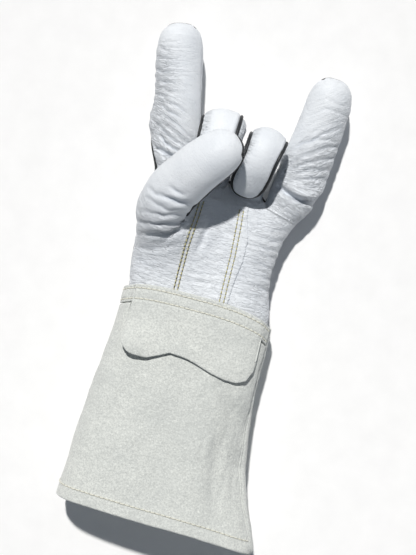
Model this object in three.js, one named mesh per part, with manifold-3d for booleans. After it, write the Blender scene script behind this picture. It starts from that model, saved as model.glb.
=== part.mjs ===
// A left-hand gauntlet welding glove, formed round a hand whose index and little fingers point out while
// the middle and ring fingers are curled under the thumb. It lies on its back, palm up.
// Frame, in millimetres: +X towards the little finger, +Y towards the fingertips, +Z out of the palm.
// The origin is on the table, under the middle of the wrist seam.
import * as THREE from 'three';
import { mergeVertices } from 'three/addons/utils/BufferGeometryUtils.js';
import Module from 'manifold-3d';

// ---- Driving dimensions ----
const HIDE = 1.4; // thickness of the grain leather of the hand
const SUEDE = 1.9; // thickness of the split leather of the cuff
const GAP = 0.35; // clearance between neighbouring pieces
const WELT = 1.15; // radius of the piping in the seams
const THREAD = 0.45; // radius of the sewing thread
const HEM_Y = -153; // edge of the gauntlet
const CUFF_TOP_Y = 3; // upper edge of the cuff, sewn over the hand leather
const CUFF_BACK_RISE = 5.5; // how much higher that edge is on the back of the hand
const HEM_FOLD = 13; // depth of the leather turned in at the hem
const FLAP_HINGE_Y = -13; // the stitched line that the flap folds up about
const WRIST_Y = 15; // where the hand bends against the cuff
const WRIST_ROOM = 5; // room left on each side of the wrist bend
const JOINT_ROOM = { palm: 5.5, back: 2.5 }; // room left on each side of a finger joint
const CURLED_ROOM = { palm: 5, back: 4 }; // and above the knuckle of a curled finger

// ---- Materials ----
const leather = (color, roughness) => new THREE.MeshStandardMaterial({ color, roughness, metalness: 0 });
const HIDE_LEATHER = leather(0xdfe3e6, 0.55);
const SUEDE_LEATHER = leather(0xcfd0c8, 0.95);
const PIPING = leather(0x23262b, 0.6);
const YELLOW_THREAD = leather(0xb9a75c, 0.7);
const CREAM_THREAD = leather(0xdcd8bf, 0.8);

const glove = new THREE.Group();
const rad = THREE.MathUtils.degToRad;
const { lerp, clamp } = THREE.MathUtils;

function add(name, geometry, look) {
  const mesh = new THREE.Mesh(geometry, look);
  mesh.name = name;
  glove.add(mesh);
}

// ---- Helpers ----
// The value at x of a broken line through points [x, value].
function between(points, x) {
  let k = 0;
  while (k < points.length - 2 && x > points[k + 1][0]) k++;
  const [[x0, v0], [x1, v1]] = [points[k], points[k + 1]];
  return lerp(v0, v1, clamp((x - x0) / (x1 - x0), 0, 1));
}

// The points place(t) at count + 1 even steps of t from 0 to 1.
function sample(count, place) {
  return Array.from({ length: count + 1 }, (_, k) => place(k / count));
}

// Turns a surface point(a, b), with a and b from 0 to 1, into a closed solid that lies under it.
function sheet(point, { rows, columns, thickness }) {
  const step = 1e-3;
  const outer = [];
  const inner = [];
  for (let i = 0; i <= rows; i++) {
    for (let j = 0; j <= columns; j++) {
      const [a, b] = [i / rows, j / columns];
      const p = point(a, b);
      const alongA = point(Math.min(a + step, 1), b).sub(point(Math.max(a - step, 0), b));
      const alongB = point(a, Math.min(b + step, 1)).sub(point(a, Math.max(b - step, 0)));
      const normal = alongA.cross(alongB).normalize();
      outer.push(p);
      inner.push(p.clone().addScaledVector(normal, -thickness));
    }
  }
  const count = outer.length;
  const at = (i, j) => i * (columns + 1) + j;
  const faces = [];
  const quad = (a, b, c, d) => faces.push(a, b, c, a, c, d);
  const wall = (a, b) => quad(a, a + count, b + count, b);
  for (let i = 0; i < rows; i++) {
    for (let j = 0; j < columns; j++) {
      const [a, b, c, d] = [at(i, j), at(i + 1, j), at(i + 1, j + 1), at(i, j + 1)];
      quad(a, b, c, d);
      quad(a + count, d + count, c + count, b + count);
    }
    wall(at(i, 0), at(i + 1, 0));
    wall(at(i + 1, columns), at(i, columns));
  }
  for (let j = 0; j < columns; j++) {
    wall(at(0, j + 1), at(0, j));
    wall(at(rows, j), at(rows, j + 1));
  }
  return new THREE.BufferGeometry().setFromPoints([...outer, ...inner]).setIndex(faces);
}

// A round cord or thread along a list of points.
function cord(points, radius, steps) {
  const sides = radius > THREAD ? 6 : 4;
  const section = new THREE.Shape(sample(sides, (t) => {
    const angle = 2 * Math.PI * t;
    return new THREE.Vector2(radius * Math.cos(angle), radius * Math.sin(angle));
  }).slice(0, sides));
  const extrudePath = new THREE.CatmullRomCurve3(points, false, 'centripetal');
  return new THREE.ExtrudeGeometry(section, { steps, bevelEnabled: false, extrudePath });
}

// ---- Booleans ----
const wasm = await Module();
wasm.setup();

function solid(geometry) {
  const bare = geometry.clone();
  bare.deleteAttribute('normal');
  bare.deleteAttribute('uv');
  const merged = mergeVertices(bare);
  const vertProperties = Float32Array.from(merged.attributes.position.array);
  const triVerts = Uint32Array.from(merged.index.array);
  return new wasm.Manifold(new wasm.Mesh({ numProp: 3, vertProperties, triVerts }));
}

function subtract(geometry, cutter) {
  const { vertProperties, triVerts } = solid(geometry).subtract(solid(cutter)).getMesh();
  const position = new THREE.BufferAttribute(new Float32Array(vertProperties), 3);
  const index = new THREE.BufferAttribute(new Uint32Array(triVerts), 1);
  return new THREE.BufferGeometry().setAttribute('position', position).setIndex(index);
}

// ---- Tubes along Y: the cuff and the hand ----
// A section is the centre in X, the half width, and the lowest and highest Z. Angle 0 is the palm side, 90
// the little-finger side and 180 the back, which is flat where it lies on the table.
const SQUARENESS = 2.9; // power of the superellipse
const FLATTENING = 1.07;

function ovalPoint([centre, half, low, high], angle, grow = 0) {
  const power = 2 / SQUARENESS;
  const [s, c] = [Math.sin(angle), Math.cos(angle)];
  const across = Math.sign(s) * Math.abs(s) ** power;
  const rise = Math.abs(c) ** power;
  const up = c < 0 ? -Math.min(1, rise * FLATTENING) : rise;
  const x = centre + (half + grow) * across;
  return { x, z: (low + high) / 2 + ((high - low) / 2 + grow) * up };
}

function sectionAt(stations, y) {
  return stations[0].section.map((_, i) => between(stations.map((s) => [s.y, s.section[i]]), y));
}

function tubePoint(stations, angle, y, grow = 0) {
  const { x, z } = ovalPoint(sectionAt(stations, y), angle, grow);
  return new THREE.Vector3(x, y, z);
}

// A strip of the cuff between two angles in degrees and two edges, each a function of the angle.
function cuffStrip([from, to], yLow, yHigh, grow = 0) {
  return (a, b) => {
    const angle = rad(lerp(from, to, b));
    return tubePoint(CUFF, angle, lerp(yLow(angle), yHigh(angle), a), grow);
  };
}

const CUFF = [
  { y: HEM_Y, section: [5.5, 70, 0, 64] },
  { y: -125, section: [1.8, 64.7, 0, 62] },
  { y: -100, section: [-1, 60.5, 0, 60] },
  { y: -50, section: [-1.5, 55.5, 0, 55] },
  { y: -15, section: [0, 53.6, 0, 51.8] },
  { y: 12, section: [0, 53.5, 0, 49] },
];
const CUFF_SEAMS = { little: 78, thumb: -102 };
const CUFF_SEAM_GAP = 3; // half the gap that holds the seam cord, in degrees

// The hem dips towards the little-finger side and rises a little in the middle of the palm side.
const hemY = (angle) => HEM_Y - 4 * Math.sin(angle) + 3 * Math.max(0, Math.cos(angle)) ** 2;
const cuffTopY = (angle) => CUFF_TOP_Y + CUFF_BACK_RISE * ((1 - Math.cos(angle)) / 2) ** 2;

function addCuff() {
  const { little, thumb } = CUFF_SEAMS;
  const front = cuffStrip([little - CUFF_SEAM_GAP, thumb + CUFF_SEAM_GAP], hemY, cuffTopY);
  const back = cuffStrip([360 + thumb - CUFF_SEAM_GAP, little + CUFF_SEAM_GAP], hemY, cuffTopY);
  add('cuff_front', sheet(front, { rows: 7, columns: 12, thickness: SUEDE }), SUEDE_LEATHER);
  add('cuff_back', sheet(back, { rows: 7, columns: 12, thickness: SUEDE }), SUEDE_LEATHER);

  const foldedEdge = (angle) => hemY(angle) + 0.5;
  const foldTop = (angle) => hemY(angle) + HEM_FOLD;
  const facing = cuffStrip([little + 358, little + 2], foldedEdge, foldTop, -SUEDE - 3 * GAP);
  add('hem_facing', sheet(facing, { rows: 1, columns: 24, thickness: HIDE }), SUEDE_LEATHER);

  const seamStations = [HEM_Y + 4, -125, -100, -75, -50, -10, CUFF_TOP_Y];
  for (const [side, degrees] of Object.entries(CUFF_SEAMS)) {
    const points = seamStations.map((y) => tubePoint(CUFF, rad(degrees), y, -SUEDE / 2));
    add(`cuff_welt_${side}_side`, cord(points, WELT, 24), SUEDE_LEATHER);
  }
}

// A row of stitches round the palm side of the cuff.
function addRingThread(name, [from, to], yAt, lift) {
  const points = sample(16, (t) => {
    const angle = rad(lerp(from, to, t));
    return tubePoint(CUFF, angle, yAt(angle), lift + THREAD);
  });
  add(name, cord(points, THREAD, 28), CREAM_THREAD);
}

// ---- Wrist seam: the flap and its band are sewn over the edge of the cuff ----
const FLAP_LIFT = SUEDE + 0.5; // outer face of the flap over the outer face of the cuff
const FLAP_SPAN = [50, -51];
const BAND_SPAN = [70, -84];
const FLAP_EDGE = [[-47, -26], [-43, -36], [-31, -41], [-10, -34], [8, -38], [35, -45], [43, -41], [47, -31]];
const FLAP_MIDDLE_Y = -30;

function addWristSeam() {
  const bandLow = () => FLAP_HINGE_Y + 1;
  const bandTop = (angle) => cuffTopY(angle) - 0.5;
  const flapTop = () => FLAP_HINGE_Y - 1;
  const flapLow = (angle) => between(FLAP_EDGE, tubePoint(CUFF, angle, FLAP_MIDDLE_Y, FLAP_LIFT).x);
  const band = cuffStrip(BAND_SPAN, bandLow, bandTop, FLAP_LIFT);
  const flap = cuffStrip(FLAP_SPAN, flapLow, flapTop, FLAP_LIFT);
  add('flap_band', sheet(band, { rows: 2, columns: 12, thickness: SUEDE }), SUEDE_LEATHER);
  add('flap', sheet(flap, { rows: 3, columns: 12, thickness: SUEDE }), SUEDE_LEATHER);

  const rowSpan = [68, -82];
  addRingThread('wrist_thread_upper', rowSpan, (angle) => cuffTopY(angle) - 3, FLAP_LIFT + 2 * GAP);
  addRingThread('wrist_thread_lower', rowSpan, (angle) => cuffTopY(angle) - 10.5, FLAP_LIFT + 2 * GAP);
  addRingThread('hem_thread', [70, -94], (angle) => hemY(angle) + 10, 2 * GAP);
}

// ---- Hand: a palm panel and a back panel, joined by piped side seams ----
const HAND = [
  { y: -12, section: [0, 50.5, 3, 46.8] },
  { y: 8, section: [-0.5, 50.2, 2.8, 45] },
  { y: 15, section: [-1.3, 50.7, 2, 44] },
  { y: 28, section: [-3.8, 51.7, 1, 42.3] },
  { y: 45, section: [-4.3, 51.3, 0, 40.5] },
  { y: 68, section: [-1.5, 52, 0, 39] },
  { y: 92, section: [0.8, 55.2, 0, 37.5] },
];
const HEEL_Y = -11; // lower end of the hand leather, inside the cuff
const HAND_SEAMS = { little: 104, thumb: -104 };
const HAND_SEAM_GAP = 4; // half the gap that holds the piping, in degrees
const FINGER_BASES = [[-56, 87], [-40, 88], [-26, 88.5], [-12, 89], [13, 86.5], [27, 81], [42, 75], [56, 71]];
const FINGER_BASE_Y = 80;
const THENAR = { x: -36, y: 36, wide: 20, long: 24, rise: 8 }; // the ball of the thumb
const HYPOTHENAR = { x: 36, y: 40, wide: 20, long: 28, rise: 3 };

function padRise(x, y) {
  const rise = (pad) => pad.rise * Math.exp(-(((x - pad.x) / pad.wide) ** 2) - ((y - pad.y) / pad.long) ** 2);
  return rise(THENAR) + rise(HYPOTHENAR);
}

function handPoint(angle, y, grow = 0) {
  const p = tubePoint(HAND, angle, y, grow);
  p.z += Math.max(0, Math.cos(angle)) ** 0.7 * padRise(p.x, y);
  return p;
}

function handStrip([from, to], yLow, yHigh) {
  return (a, b) => {
    const angle = rad(lerp(from, to, b));
    return handPoint(angle, lerp(yLow(angle), yHigh(angle), a));
  };
}

function handTopY(angle) {
  const backShare = Math.max(0, -Math.cos(angle));
  return between(FINGER_BASES, tubePoint(HAND, angle, FINGER_BASE_Y).x) + 2.5 * backShare;
}
const wristRoom = (angle) => WRIST_ROOM * (0.4 + 0.6 * Math.abs(Math.cos(angle)));
const handBottomY = (angle) => WRIST_Y + wristRoom(angle);
const palmSpan = [HAND_SEAMS.little - HAND_SEAM_GAP, HAND_SEAMS.thumb + HAND_SEAM_GAP];
const backSpan = [360 + HAND_SEAMS.thumb - HAND_SEAM_GAP, HAND_SEAMS.little + HAND_SEAM_GAP];

// The leather from the wrist to the finger bases, with a hole through which the thumb opens into the palm.
function addHand(thumbPassage) {
  const heelLow = () => HEEL_Y;
  const heelTop = (angle) => WRIST_Y - wristRoom(angle);
  const heel = { rows: 1, columns: 10, thickness: HIDE };
  add('palm_heel', sheet(handStrip(palmSpan, heelLow, heelTop), heel), HIDE_LEATHER);
  add('back_heel', sheet(handStrip(backSpan, heelLow, heelTop), heel), HIDE_LEATHER);

  const palm = sheet(handStrip(palmSpan, handBottomY, handTopY), { rows: 6, columns: 18, thickness: HIDE });
  const back = sheet(handStrip(backSpan, handBottomY, handTopY), { rows: 4, columns: 12, thickness: HIDE });
  add('palm_panel', subtract(palm, thumbPassage), HIDE_LEATHER);
  add('back_panel', back, HIDE_LEATHER);

  for (const [side, degrees] of Object.entries(HAND_SEAMS)) {
    const angle = rad(degrees);
    const points = sample(8, (t) => handPoint(angle, lerp(handBottomY(angle), handTopY(angle) - 1, t), -0.2));
    add(`hand_welt_${side}_side`, cord(points, WELT, 16), PIPING);
  }
}

// ---- Palm patch: a second layer down the palm, with a double row of stitches inside each long edge ----
const PATCH = { left: -21, right: 17.5, low: 21.5, high: 76, thickness: 1.1 };
const PATCH_ROWS = { palm_thread_1: -18.6, palm_thread_2: -15.2, palm_thread_3: 11.4, palm_thread_4: 14.8 };

// The place over the palm at x and y, found by halving the angle that it lies at.
function palmPoint(x, y, grow) {
  let [low, high] = [rad(-90), rad(90)];
  for (let k = 0; k < 40; k++) {
    const angle = (low + high) / 2;
    if (handPoint(angle, y, grow).x < x) low = angle;
    else high = angle;
  }
  return handPoint((low + high) / 2, y, grow);
}

function addPalmPatch() {
  const { left, right, low, high, thickness } = PATCH;
  const lift = thickness + 3 * GAP;
  const patch = (a, b) => palmPoint(lerp(right, left, b), lerp(low, high, a), lift);
  add('palm_patch', sheet(patch, { rows: 5, columns: 5, thickness }), HIDE_LEATHER);
  for (const [name, x] of Object.entries(PATCH_ROWS)) {
    const points = sample(10, (t) => palmPoint(x, lerp(low + 2, high - 2, t), lift + THREAD + 2 * GAP));
    add(name, cord(points, THREAD, 14), YELLOW_THREAD);
  }
}

// ---- Digits ----
// path: the centre line from inside the knuckle to the very tip. side: the axis it bends about, pointing to
// the little-finger side. widths and depths: half sizes across and from palm to back, along the path.
const DIGITS = {
  index: {
    path: [[-38.6, 88, 20], [-42.8, 109, 21.5], [-48.1, 134, 23.5], [-53.4, 160, 25], [-60, 191, 26]],
    side: [0.979, 0.202, 0],
    widths: [12.6, 15, 15.6, 15.6, 15.4],
    depths: [15, 15, 14.8, 14.2, 13.5],
  },
  middle: {
    path: [[-12.4, 90, 19.5], [-12.3, 102, 24], [-12, 115, 35], [-11.8, 125.5, 48], [-11.9, 120.5, 57.5],
      [-12.1, 108, 58], [-12.4, 97, 49.5], [-12.6, 87, 39]],
    side: [1, 0, 0],
    widths: [12.2, 12.8, 13.4, 14, 14, 13.2, 12.6, 12.2],
    depths: [13, 11.5, 10.8, 11.6, 11.6, 10.2, 9.6, 9.6],
  },
  ring: {
    path: [[13.6, 87.5, 19.5], [15, 98.5, 24], [16.9, 110, 34], [18.7, 121, 46], [18, 116.5, 55.5],
      [16, 105, 56], [14.2, 95, 48.5], [12.6, 86, 39]],
    side: [0.975, -0.16, -0.153],
    widths: [12.2, 12.6, 13.2, 13.8, 13.8, 12.6, 12.2, 12],
    depths: [13, 11.2, 10.6, 11.4, 11.4, 10, 9.6, 9.4],
  },
  little: {
    path: [[41, 77.5, 19], [44.9, 98, 20.5], [48.3, 119, 23], [51.3, 143, 26], [56, 177.5, 29]],
    side: [0.99, -0.136, 0],
    widths: [13, 15.2, 15.8, 15.8, 15.2],
    depths: [14.5, 14.8, 14.6, 14, 13.4],
  },
  thumb: {
    path: [[-41.2, 47, 40], [-41.8, 58, 48], [-37.5, 73, 61.5], [-29, 86, 74], [-17.5, 98, 83],
      [1.5, 113.5, 88.5]],
    side: [-0.453, 0.73, -0.508],
    widths: [17.5, 17.6, 17.2, 16.8, 16, 15.6],
    depths: [15.5, 15.8, 15.6, 15.2, 14.6, 14],
  },
};
const KNUCKLES = { index: [-39.7, 93.5, 20.4], little: [41.9, 82, 19.3] };
const MIDDLE_JOINTS = { index: [-48.1, 134, 23.5], little: [47.8, 116, 22.6] };

const PLAIN = 0.45; // half gap at a plain seam
const PIPED = WELT + 2 * GAP; // half gap at a seam with piping
const PIPED_ON_BEND = WELT + 4 * GAP; // and where the stall is tightly curled
const WELT_PROUD = 0.1; // how far the middle of the piping lies outside the leather's face
const WELT_SETBACK = 4.5; // from the piping's end to the joint
const TIP_HOLE = 0.3; // share of the radius at which the panels end, where the tip seams meet

// The tube of leather round one digit.
class Stall {
  constructor({ path, side, widths, depths }) {
    this.curve = new THREE.CatmullRomCurve3(path.map((p) => new THREE.Vector3(...p)), false, 'centripetal');
    this.length = this.curve.getLength();
    this.side = new THREE.Vector3(...side).normalize();
    this.widths = widths;
    this.depths = depths;
    this.tip = widths.at(-1);
    this.end = this.length - this.tip * (1 - Math.sqrt(1 - TIP_HOLE ** 2));
  }
  // Half sizes are given at the points of the path.
  size(list, u) {
    const t = clamp(this.curve.getUtoTmapping(u), 0, 1) * (list.length - 1);
    const k = Math.min(Math.floor(t), list.length - 2);
    return lerp(list[k], list[k + 1], t - k);
  }
  // The share of the full size that the rounded tip leaves at distance d along the path.
  taper(d) {
    const left = clamp((this.length - d) / this.tip, 0, 1);
    return Math.sqrt(Math.max(1 - (1 - left) ** 2, 0));
  }
  // The point at distance d along the path and at an angle in degrees: 0 palm side, 90 side, 180 back.
  point(d, degrees, grow = 0) {
    const u = clamp(d / this.length, 0, 1);
    const along = this.curve.getTangentAt(u);
    const palm = this.side.clone().cross(along).normalize();
    const across = along.clone().cross(palm).normalize();
    const angle = rad(degrees);
    const t = this.taper(d);
    return this.curve.getPointAt(u)
      .addScaledVector(palm, (this.size(this.depths, u) * t + grow) * Math.cos(angle))
      .addScaledVector(across, (this.size(this.widths, u) * t + grow) * Math.sin(angle));
  }
  // Millimetres round the stall for each degree, at one place.
  arcPerDegree(d, degrees) {
    return this.point(d, degrees + 1).distanceTo(this.point(d, degrees - 1)) / 2;
  }
  // Distance along the path of the place nearest to a point.
  nearest(p) {
    const target = new THREE.Vector3(...p);
    const away = (d) => this.curve.getPointAt(d / this.length).distanceTo(target);
    let best = 0;
    for (let d = 0; d < this.length; d += 0.5) {
      if (away(d) < away(best)) best = d;
    }
    return best;
  }
}

// The share of a panel's length at a share of its rows, which crowd towards a rounded tip.
const crowd = (a, rounded) => (rounded ? Math.sin(a * Math.PI / 2) ** 0.9 : a);

// One panel of a stall between two seams, each an angle in degrees and half the gap left there, and between
// two ends, each a distance along the path as a function of the angle.
function addPanel(name, stall, seams, [start, stop], { rows, rounded }) {
  const [from, to] = seams;
  const point = (a, b) => {
    const straight = lerp(from.angle, to.angle, b);
    const d = lerp(start(straight), stop(straight), crowd(a, rounded));
    const room = (seam) => seam.gap / Math.max(stall.arcPerDegree(d, seam.angle), 0.06);
    return stall.point(d, lerp(from.angle - room(from), to.angle + room(to), b));
  };
  const columns = Math.max(2, Math.round((from.angle - to.angle) / 31));
  add(name, sheet(point, { rows, columns, thickness: HIDE }), HIDE_LEATHER);
}

// Piping along one side of the back panel.
function addSideWelt(name, stall, degrees, start, stop) {
  const points = sample(8, (t) => stall.point(lerp(start, stop, t), degrees, WELT_PROUD));
  add(name, cord(points, WELT, 6), PIPING);
}

// Piping up one side of the back panel, round the tip and down the other side.
function addLoopWelt(name, stall, [from, to], start, steps) {
  const top = stall.end + 0.6;
  const rise = (degrees) => sample(Math.round(steps / 3), (t) => (
    stall.point(lerp(start, top, crowd(t, true)), degrees, WELT_PROUD)));
  const tip = stall.curve.getPointAt(1).addScaledVector(stall.curve.getTangentAt(1), 4 * WELT_PROUD);
  add(name, cord([...rise(from), tip, ...rise(to).reverse()], WELT, steps), PIPING);
}

// The end of a panel beside a joint at distance d: it leaves more room on the palm side.
function besideJoint(d, sign, { palm, back }) {
  return (degrees) => d + sign * lerp(back, palm, (1 + Math.cos(rad(degrees))) / 2);
}

// The seams of each digit, in degrees round it: the piped back panel, the front, and the gussets that fill
// what is left beside a neighbour. A front without a gusset wraps round the outer side to the piping.
const PATTERNS = {
  index: { back: [118, 248], front: [-112, 60], gussets: { gusset: [60, 118] } },
  middle: {
    back: [118, 242],
    front: [-60, 60],
    gussets: { gusset_ring_side: [60, 118], gusset_index_side: [-118, -60] },
  },
  ring: {
    back: [118, 242],
    front: [-60, 60],
    gussets: { gusset_little_side: [60, 118], gusset_middle_side: [-118, -60] },
  },
  little: { back: [112, 242], front: [-60, 112], gussets: { gusset: [-118, -60] } },
};

function addFingerPanels(name, stall, suffix, ends, mesh, pipedGap) {
  const { back, front, gussets } = PATTERNS[name];
  const isPiped = (angle) => back.includes(angle) || back.includes(angle + 360);
  const seam = (angle) => ({ angle, gap: isPiped(angle) ? pipedGap : PLAIN });
  for (const [part, [low, high]] of Object.entries({ front, back, ...gussets })) {
    addPanel(`${name}_${part}${suffix}`, stall, [seam(high), seam(low)], ends, mesh);
  }
}

// A finger that points out, cut in two at its middle joint.
function addStraightFinger(name) {
  const stall = new Stall(DIGITS[name]);
  const { back } = PATTERNS[name];
  const knuckle = stall.nearest(KNUCKLES[name]);
  const middle = stall.nearest(MIDDLE_JOINTS[name]);
  const lowerEnds = [besideJoint(knuckle, 1, JOINT_ROOM), besideJoint(middle, -1, JOINT_ROOM)];
  const upperEnds = [besideJoint(middle, 1, JOINT_ROOM), () => stall.end];
  addFingerPanels(name, stall, '_lower', lowerEnds, { rows: 2, rounded: false }, PIPED);
  addFingerPanels(name, stall, '_upper', upperEnds, { rows: 6, rounded: true }, PIPED);
  for (const [label, degrees] of [['a', back[0]], ['b', back[1]]]) {
    addSideWelt(`${name}_welt_${label}_lower`, stall, degrees, knuckle + WELT_SETBACK, middle - WELT_SETBACK);
  }
  addLoopWelt(`${name}_welt_upper`, stall, back, middle + WELT_SETBACK, 30);
}

// A finger curled into the palm, in one piece from its knuckle.
function addCurledFinger(name) {
  const stall = new Stall(DIGITS[name]);
  const ends = [besideJoint(0, 1, CURLED_ROOM), () => stall.end];
  addFingerPanels(name, stall, '', ends, { rows: 15, rounded: false }, PIPED_ON_BEND);
  addLoopWelt(`${name}_welt`, stall, PATTERNS[name].back, CURLED_ROOM.palm + 1, 48);
}

// ---- Thumb: its base follows the ball of the thumb, and opens into the palm ----
const THUMB_SEAMS = [80, 310];
const THUMB_CLEAR = 2.2; // from the palm
const THUMB_START = 5; // shortest distance from the root of the thumb
const THUMB_BACK_ROOM = 5; // more room where the base closes as the thumb lifts
const THUMB_PASSAGE = { x: -41.5, y: 56.5, z: 46, radius: 11, depth: 30 }; // the hole in the palm
const KNUCKLE_LINE_Y = 82; // the hand's tube is clear of the thumb beyond this

function insideHand(p, grow) {
  const [centre, half, low, high] = sectionAt(HAND, p.y);
  const rise = padRise(p.x, p.y);
  const across = Math.abs(p.x - centre) / (half + grow);
  const up = Math.abs(p.z - (low + high + rise) / 2) / ((high - low + rise) / 2 + grow);
  return p.y < KNUCKLE_LINE_Y && across ** SQUARENESS + up ** SQUARENESS < 1;
}

function addThumb(stall) {
  const [side, otherSide] = THUMB_SEAMS;
  const start = (degrees) => {
    let d = stall.length / 2;
    while (d > 0 && !insideHand(stall.point(d, degrees), THUMB_CLEAR)) d -= 0.25;
    return Math.max(d, THUMB_START) + THUMB_BACK_ROOM * (1 - Math.cos(rad(degrees))) / 2;
  };
  const ends = [start, () => stall.end];
  const seam = (angle) => ({ angle, gap: PIPED });
  const mesh = { rows: 8, rounded: true };
  addPanel('thumb_front', stall, [seam(side), seam(otherSide - 360)], ends, mesh);
  addPanel('thumb_back', stall, [seam(otherSide), seam(side)], ends, mesh);
  addLoopWelt('thumb_welt', stall, THUMB_SEAMS, start(side) + 1.5, 34);
}

function thumbPassage() {
  const { x, y, z, radius, depth } = THUMB_PASSAGE;
  return new THREE.CylinderGeometry(radius, radius, depth, 16).rotateX(Math.PI / 2).translate(x, y, z);
}

addCuff();
addWristSeam();
addHand(thumbPassage());
addPalmPatch();
['index', 'little'].forEach(addStraightFinger);
['middle', 'ring'].forEach(addCurledFinger);
addThumb(new Stall(DIGITS.thumb));

export default glove;
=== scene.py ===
"""A left-hand gauntlet welding glove, palm up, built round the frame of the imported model."""

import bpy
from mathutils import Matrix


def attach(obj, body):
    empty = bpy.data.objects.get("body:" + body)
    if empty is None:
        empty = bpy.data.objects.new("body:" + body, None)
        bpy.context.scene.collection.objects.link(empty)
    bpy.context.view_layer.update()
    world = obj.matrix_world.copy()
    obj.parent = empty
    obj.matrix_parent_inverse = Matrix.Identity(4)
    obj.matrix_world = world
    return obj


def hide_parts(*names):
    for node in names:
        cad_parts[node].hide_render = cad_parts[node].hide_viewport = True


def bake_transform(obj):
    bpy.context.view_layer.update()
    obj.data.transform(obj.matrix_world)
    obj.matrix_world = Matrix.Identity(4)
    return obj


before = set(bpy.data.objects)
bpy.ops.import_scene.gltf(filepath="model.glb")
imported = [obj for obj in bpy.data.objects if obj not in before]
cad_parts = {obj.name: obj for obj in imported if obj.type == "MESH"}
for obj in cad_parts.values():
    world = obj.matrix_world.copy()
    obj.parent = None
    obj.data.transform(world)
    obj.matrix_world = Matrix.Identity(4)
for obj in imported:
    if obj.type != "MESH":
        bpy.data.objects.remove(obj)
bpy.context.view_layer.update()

import math

import bpy
import numpy as np
from mathutils import Vector
from mathutils.bvhtree import BVHTree
from mathutils.kdtree import KDTree

# Lengths are in millimetres up to the point where a mesh is made.
MM = 0.001
HIDE = 1.3  # thickness of the hand's leather
SUEDE = 1.9  # thickness of the cuff's leather
WELT = 1.15  # radius of the black piping
LEVELS = 3  # rounds of subdivision from the cage to the leather's surface
FLOOR_GAP = 0.05  # the glove lies this far over the floor
TIP_RINGS = (36, 62)  # the two rings of a rounded tip, by the angle that each stands at
BLUNTNESS = 2.5  # power of the curve that rounds off a digit's tip
ROUND = 1.047  # a cage ring of 12 points is larger than its smooth surface by this much


# ---------------------------------------------------------------- small helpers
def unit(v):
    v = np.asarray(v, float)
    return v / np.maximum(np.linalg.norm(v, axis=-1, keepdims=True), 1e-12)


def smooth_step(x, low, high):
    t = np.clip((np.asarray(x, float) - low) / (high - low), 0, 1)
    return t * t * (3 - 2 * t)


def bump(x, middle, width):
    return np.exp(-(((np.asarray(x, float) - middle) / width) ** 2))


def between(share, low, high):
    return low + (high - low) * share


def distances(line):
    """How far along a line each of its points lies."""
    return np.concatenate([[0], np.cumsum(np.linalg.norm(np.diff(line, axis=0), axis=1))])


def read_at(places, known, values):
    """The rows of values, given at known places, read off at other places."""
    return np.stack([np.interp(places, known, column) for column in values.T], 1)


def relaxed(line, rounds):
    """The line with its corners smoothed, its two ends kept."""
    line = line.copy()
    for _ in range(rounds):
        line[1:-1] = (line[:-2] + 2 * line[1:-1] + line[2:]) / 4
    return line


def nearest(points, targets):
    """For each point, the number of the nearest target and its distance."""
    tree = KDTree(len(targets))
    for i, target in enumerate(targets):
        tree.insert(target, i)
    tree.balance()
    numbers, away = zip(*(tree.find(p)[1:] for p in points))
    return np.array(numbers), np.array(away)


def edges_of(faces):
    """The directed edges of quads, four to a face."""
    return np.stack([faces, np.roll(faces, -1, 1)], 2).reshape(-1, 2)


class Noise:
    """Gradient noise in three dimensions, from about -1 to 1, the same for the same seed."""

    def __init__(self, seed):
        rng = np.random.default_rng(seed)
        self.order = rng.permutation(256)
        self.slopes = unit(rng.normal(size=(256, 3)))

    def __call__(self, points):
        points = np.asarray(points, float)
        cell = np.floor(points).astype(int)
        f = points - cell
        fade = f * f * f * (f * (f * 6 - 15) + 10)
        total = np.zeros(len(points))
        for corner in np.ndindex(2, 2, 2):
            c = cell + corner
            h = self.order[c[:, 0] & 255]
            h = self.order[(h + c[:, 1]) & 255]
            h = self.order[(h + c[:, 2]) & 255]
            share = np.prod(np.where(corner, fade, 1 - fade), axis=1)
            total += share * np.einsum("ij,ij->i", self.slopes[h], f - corner)
        return total * 1.6

    def layered(self, points):
        """Three layers of noise, each finer and weaker than the last."""
        return sum(self(points * 2**k + 17.3 * k) / 2**k for k in range(3))


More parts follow.
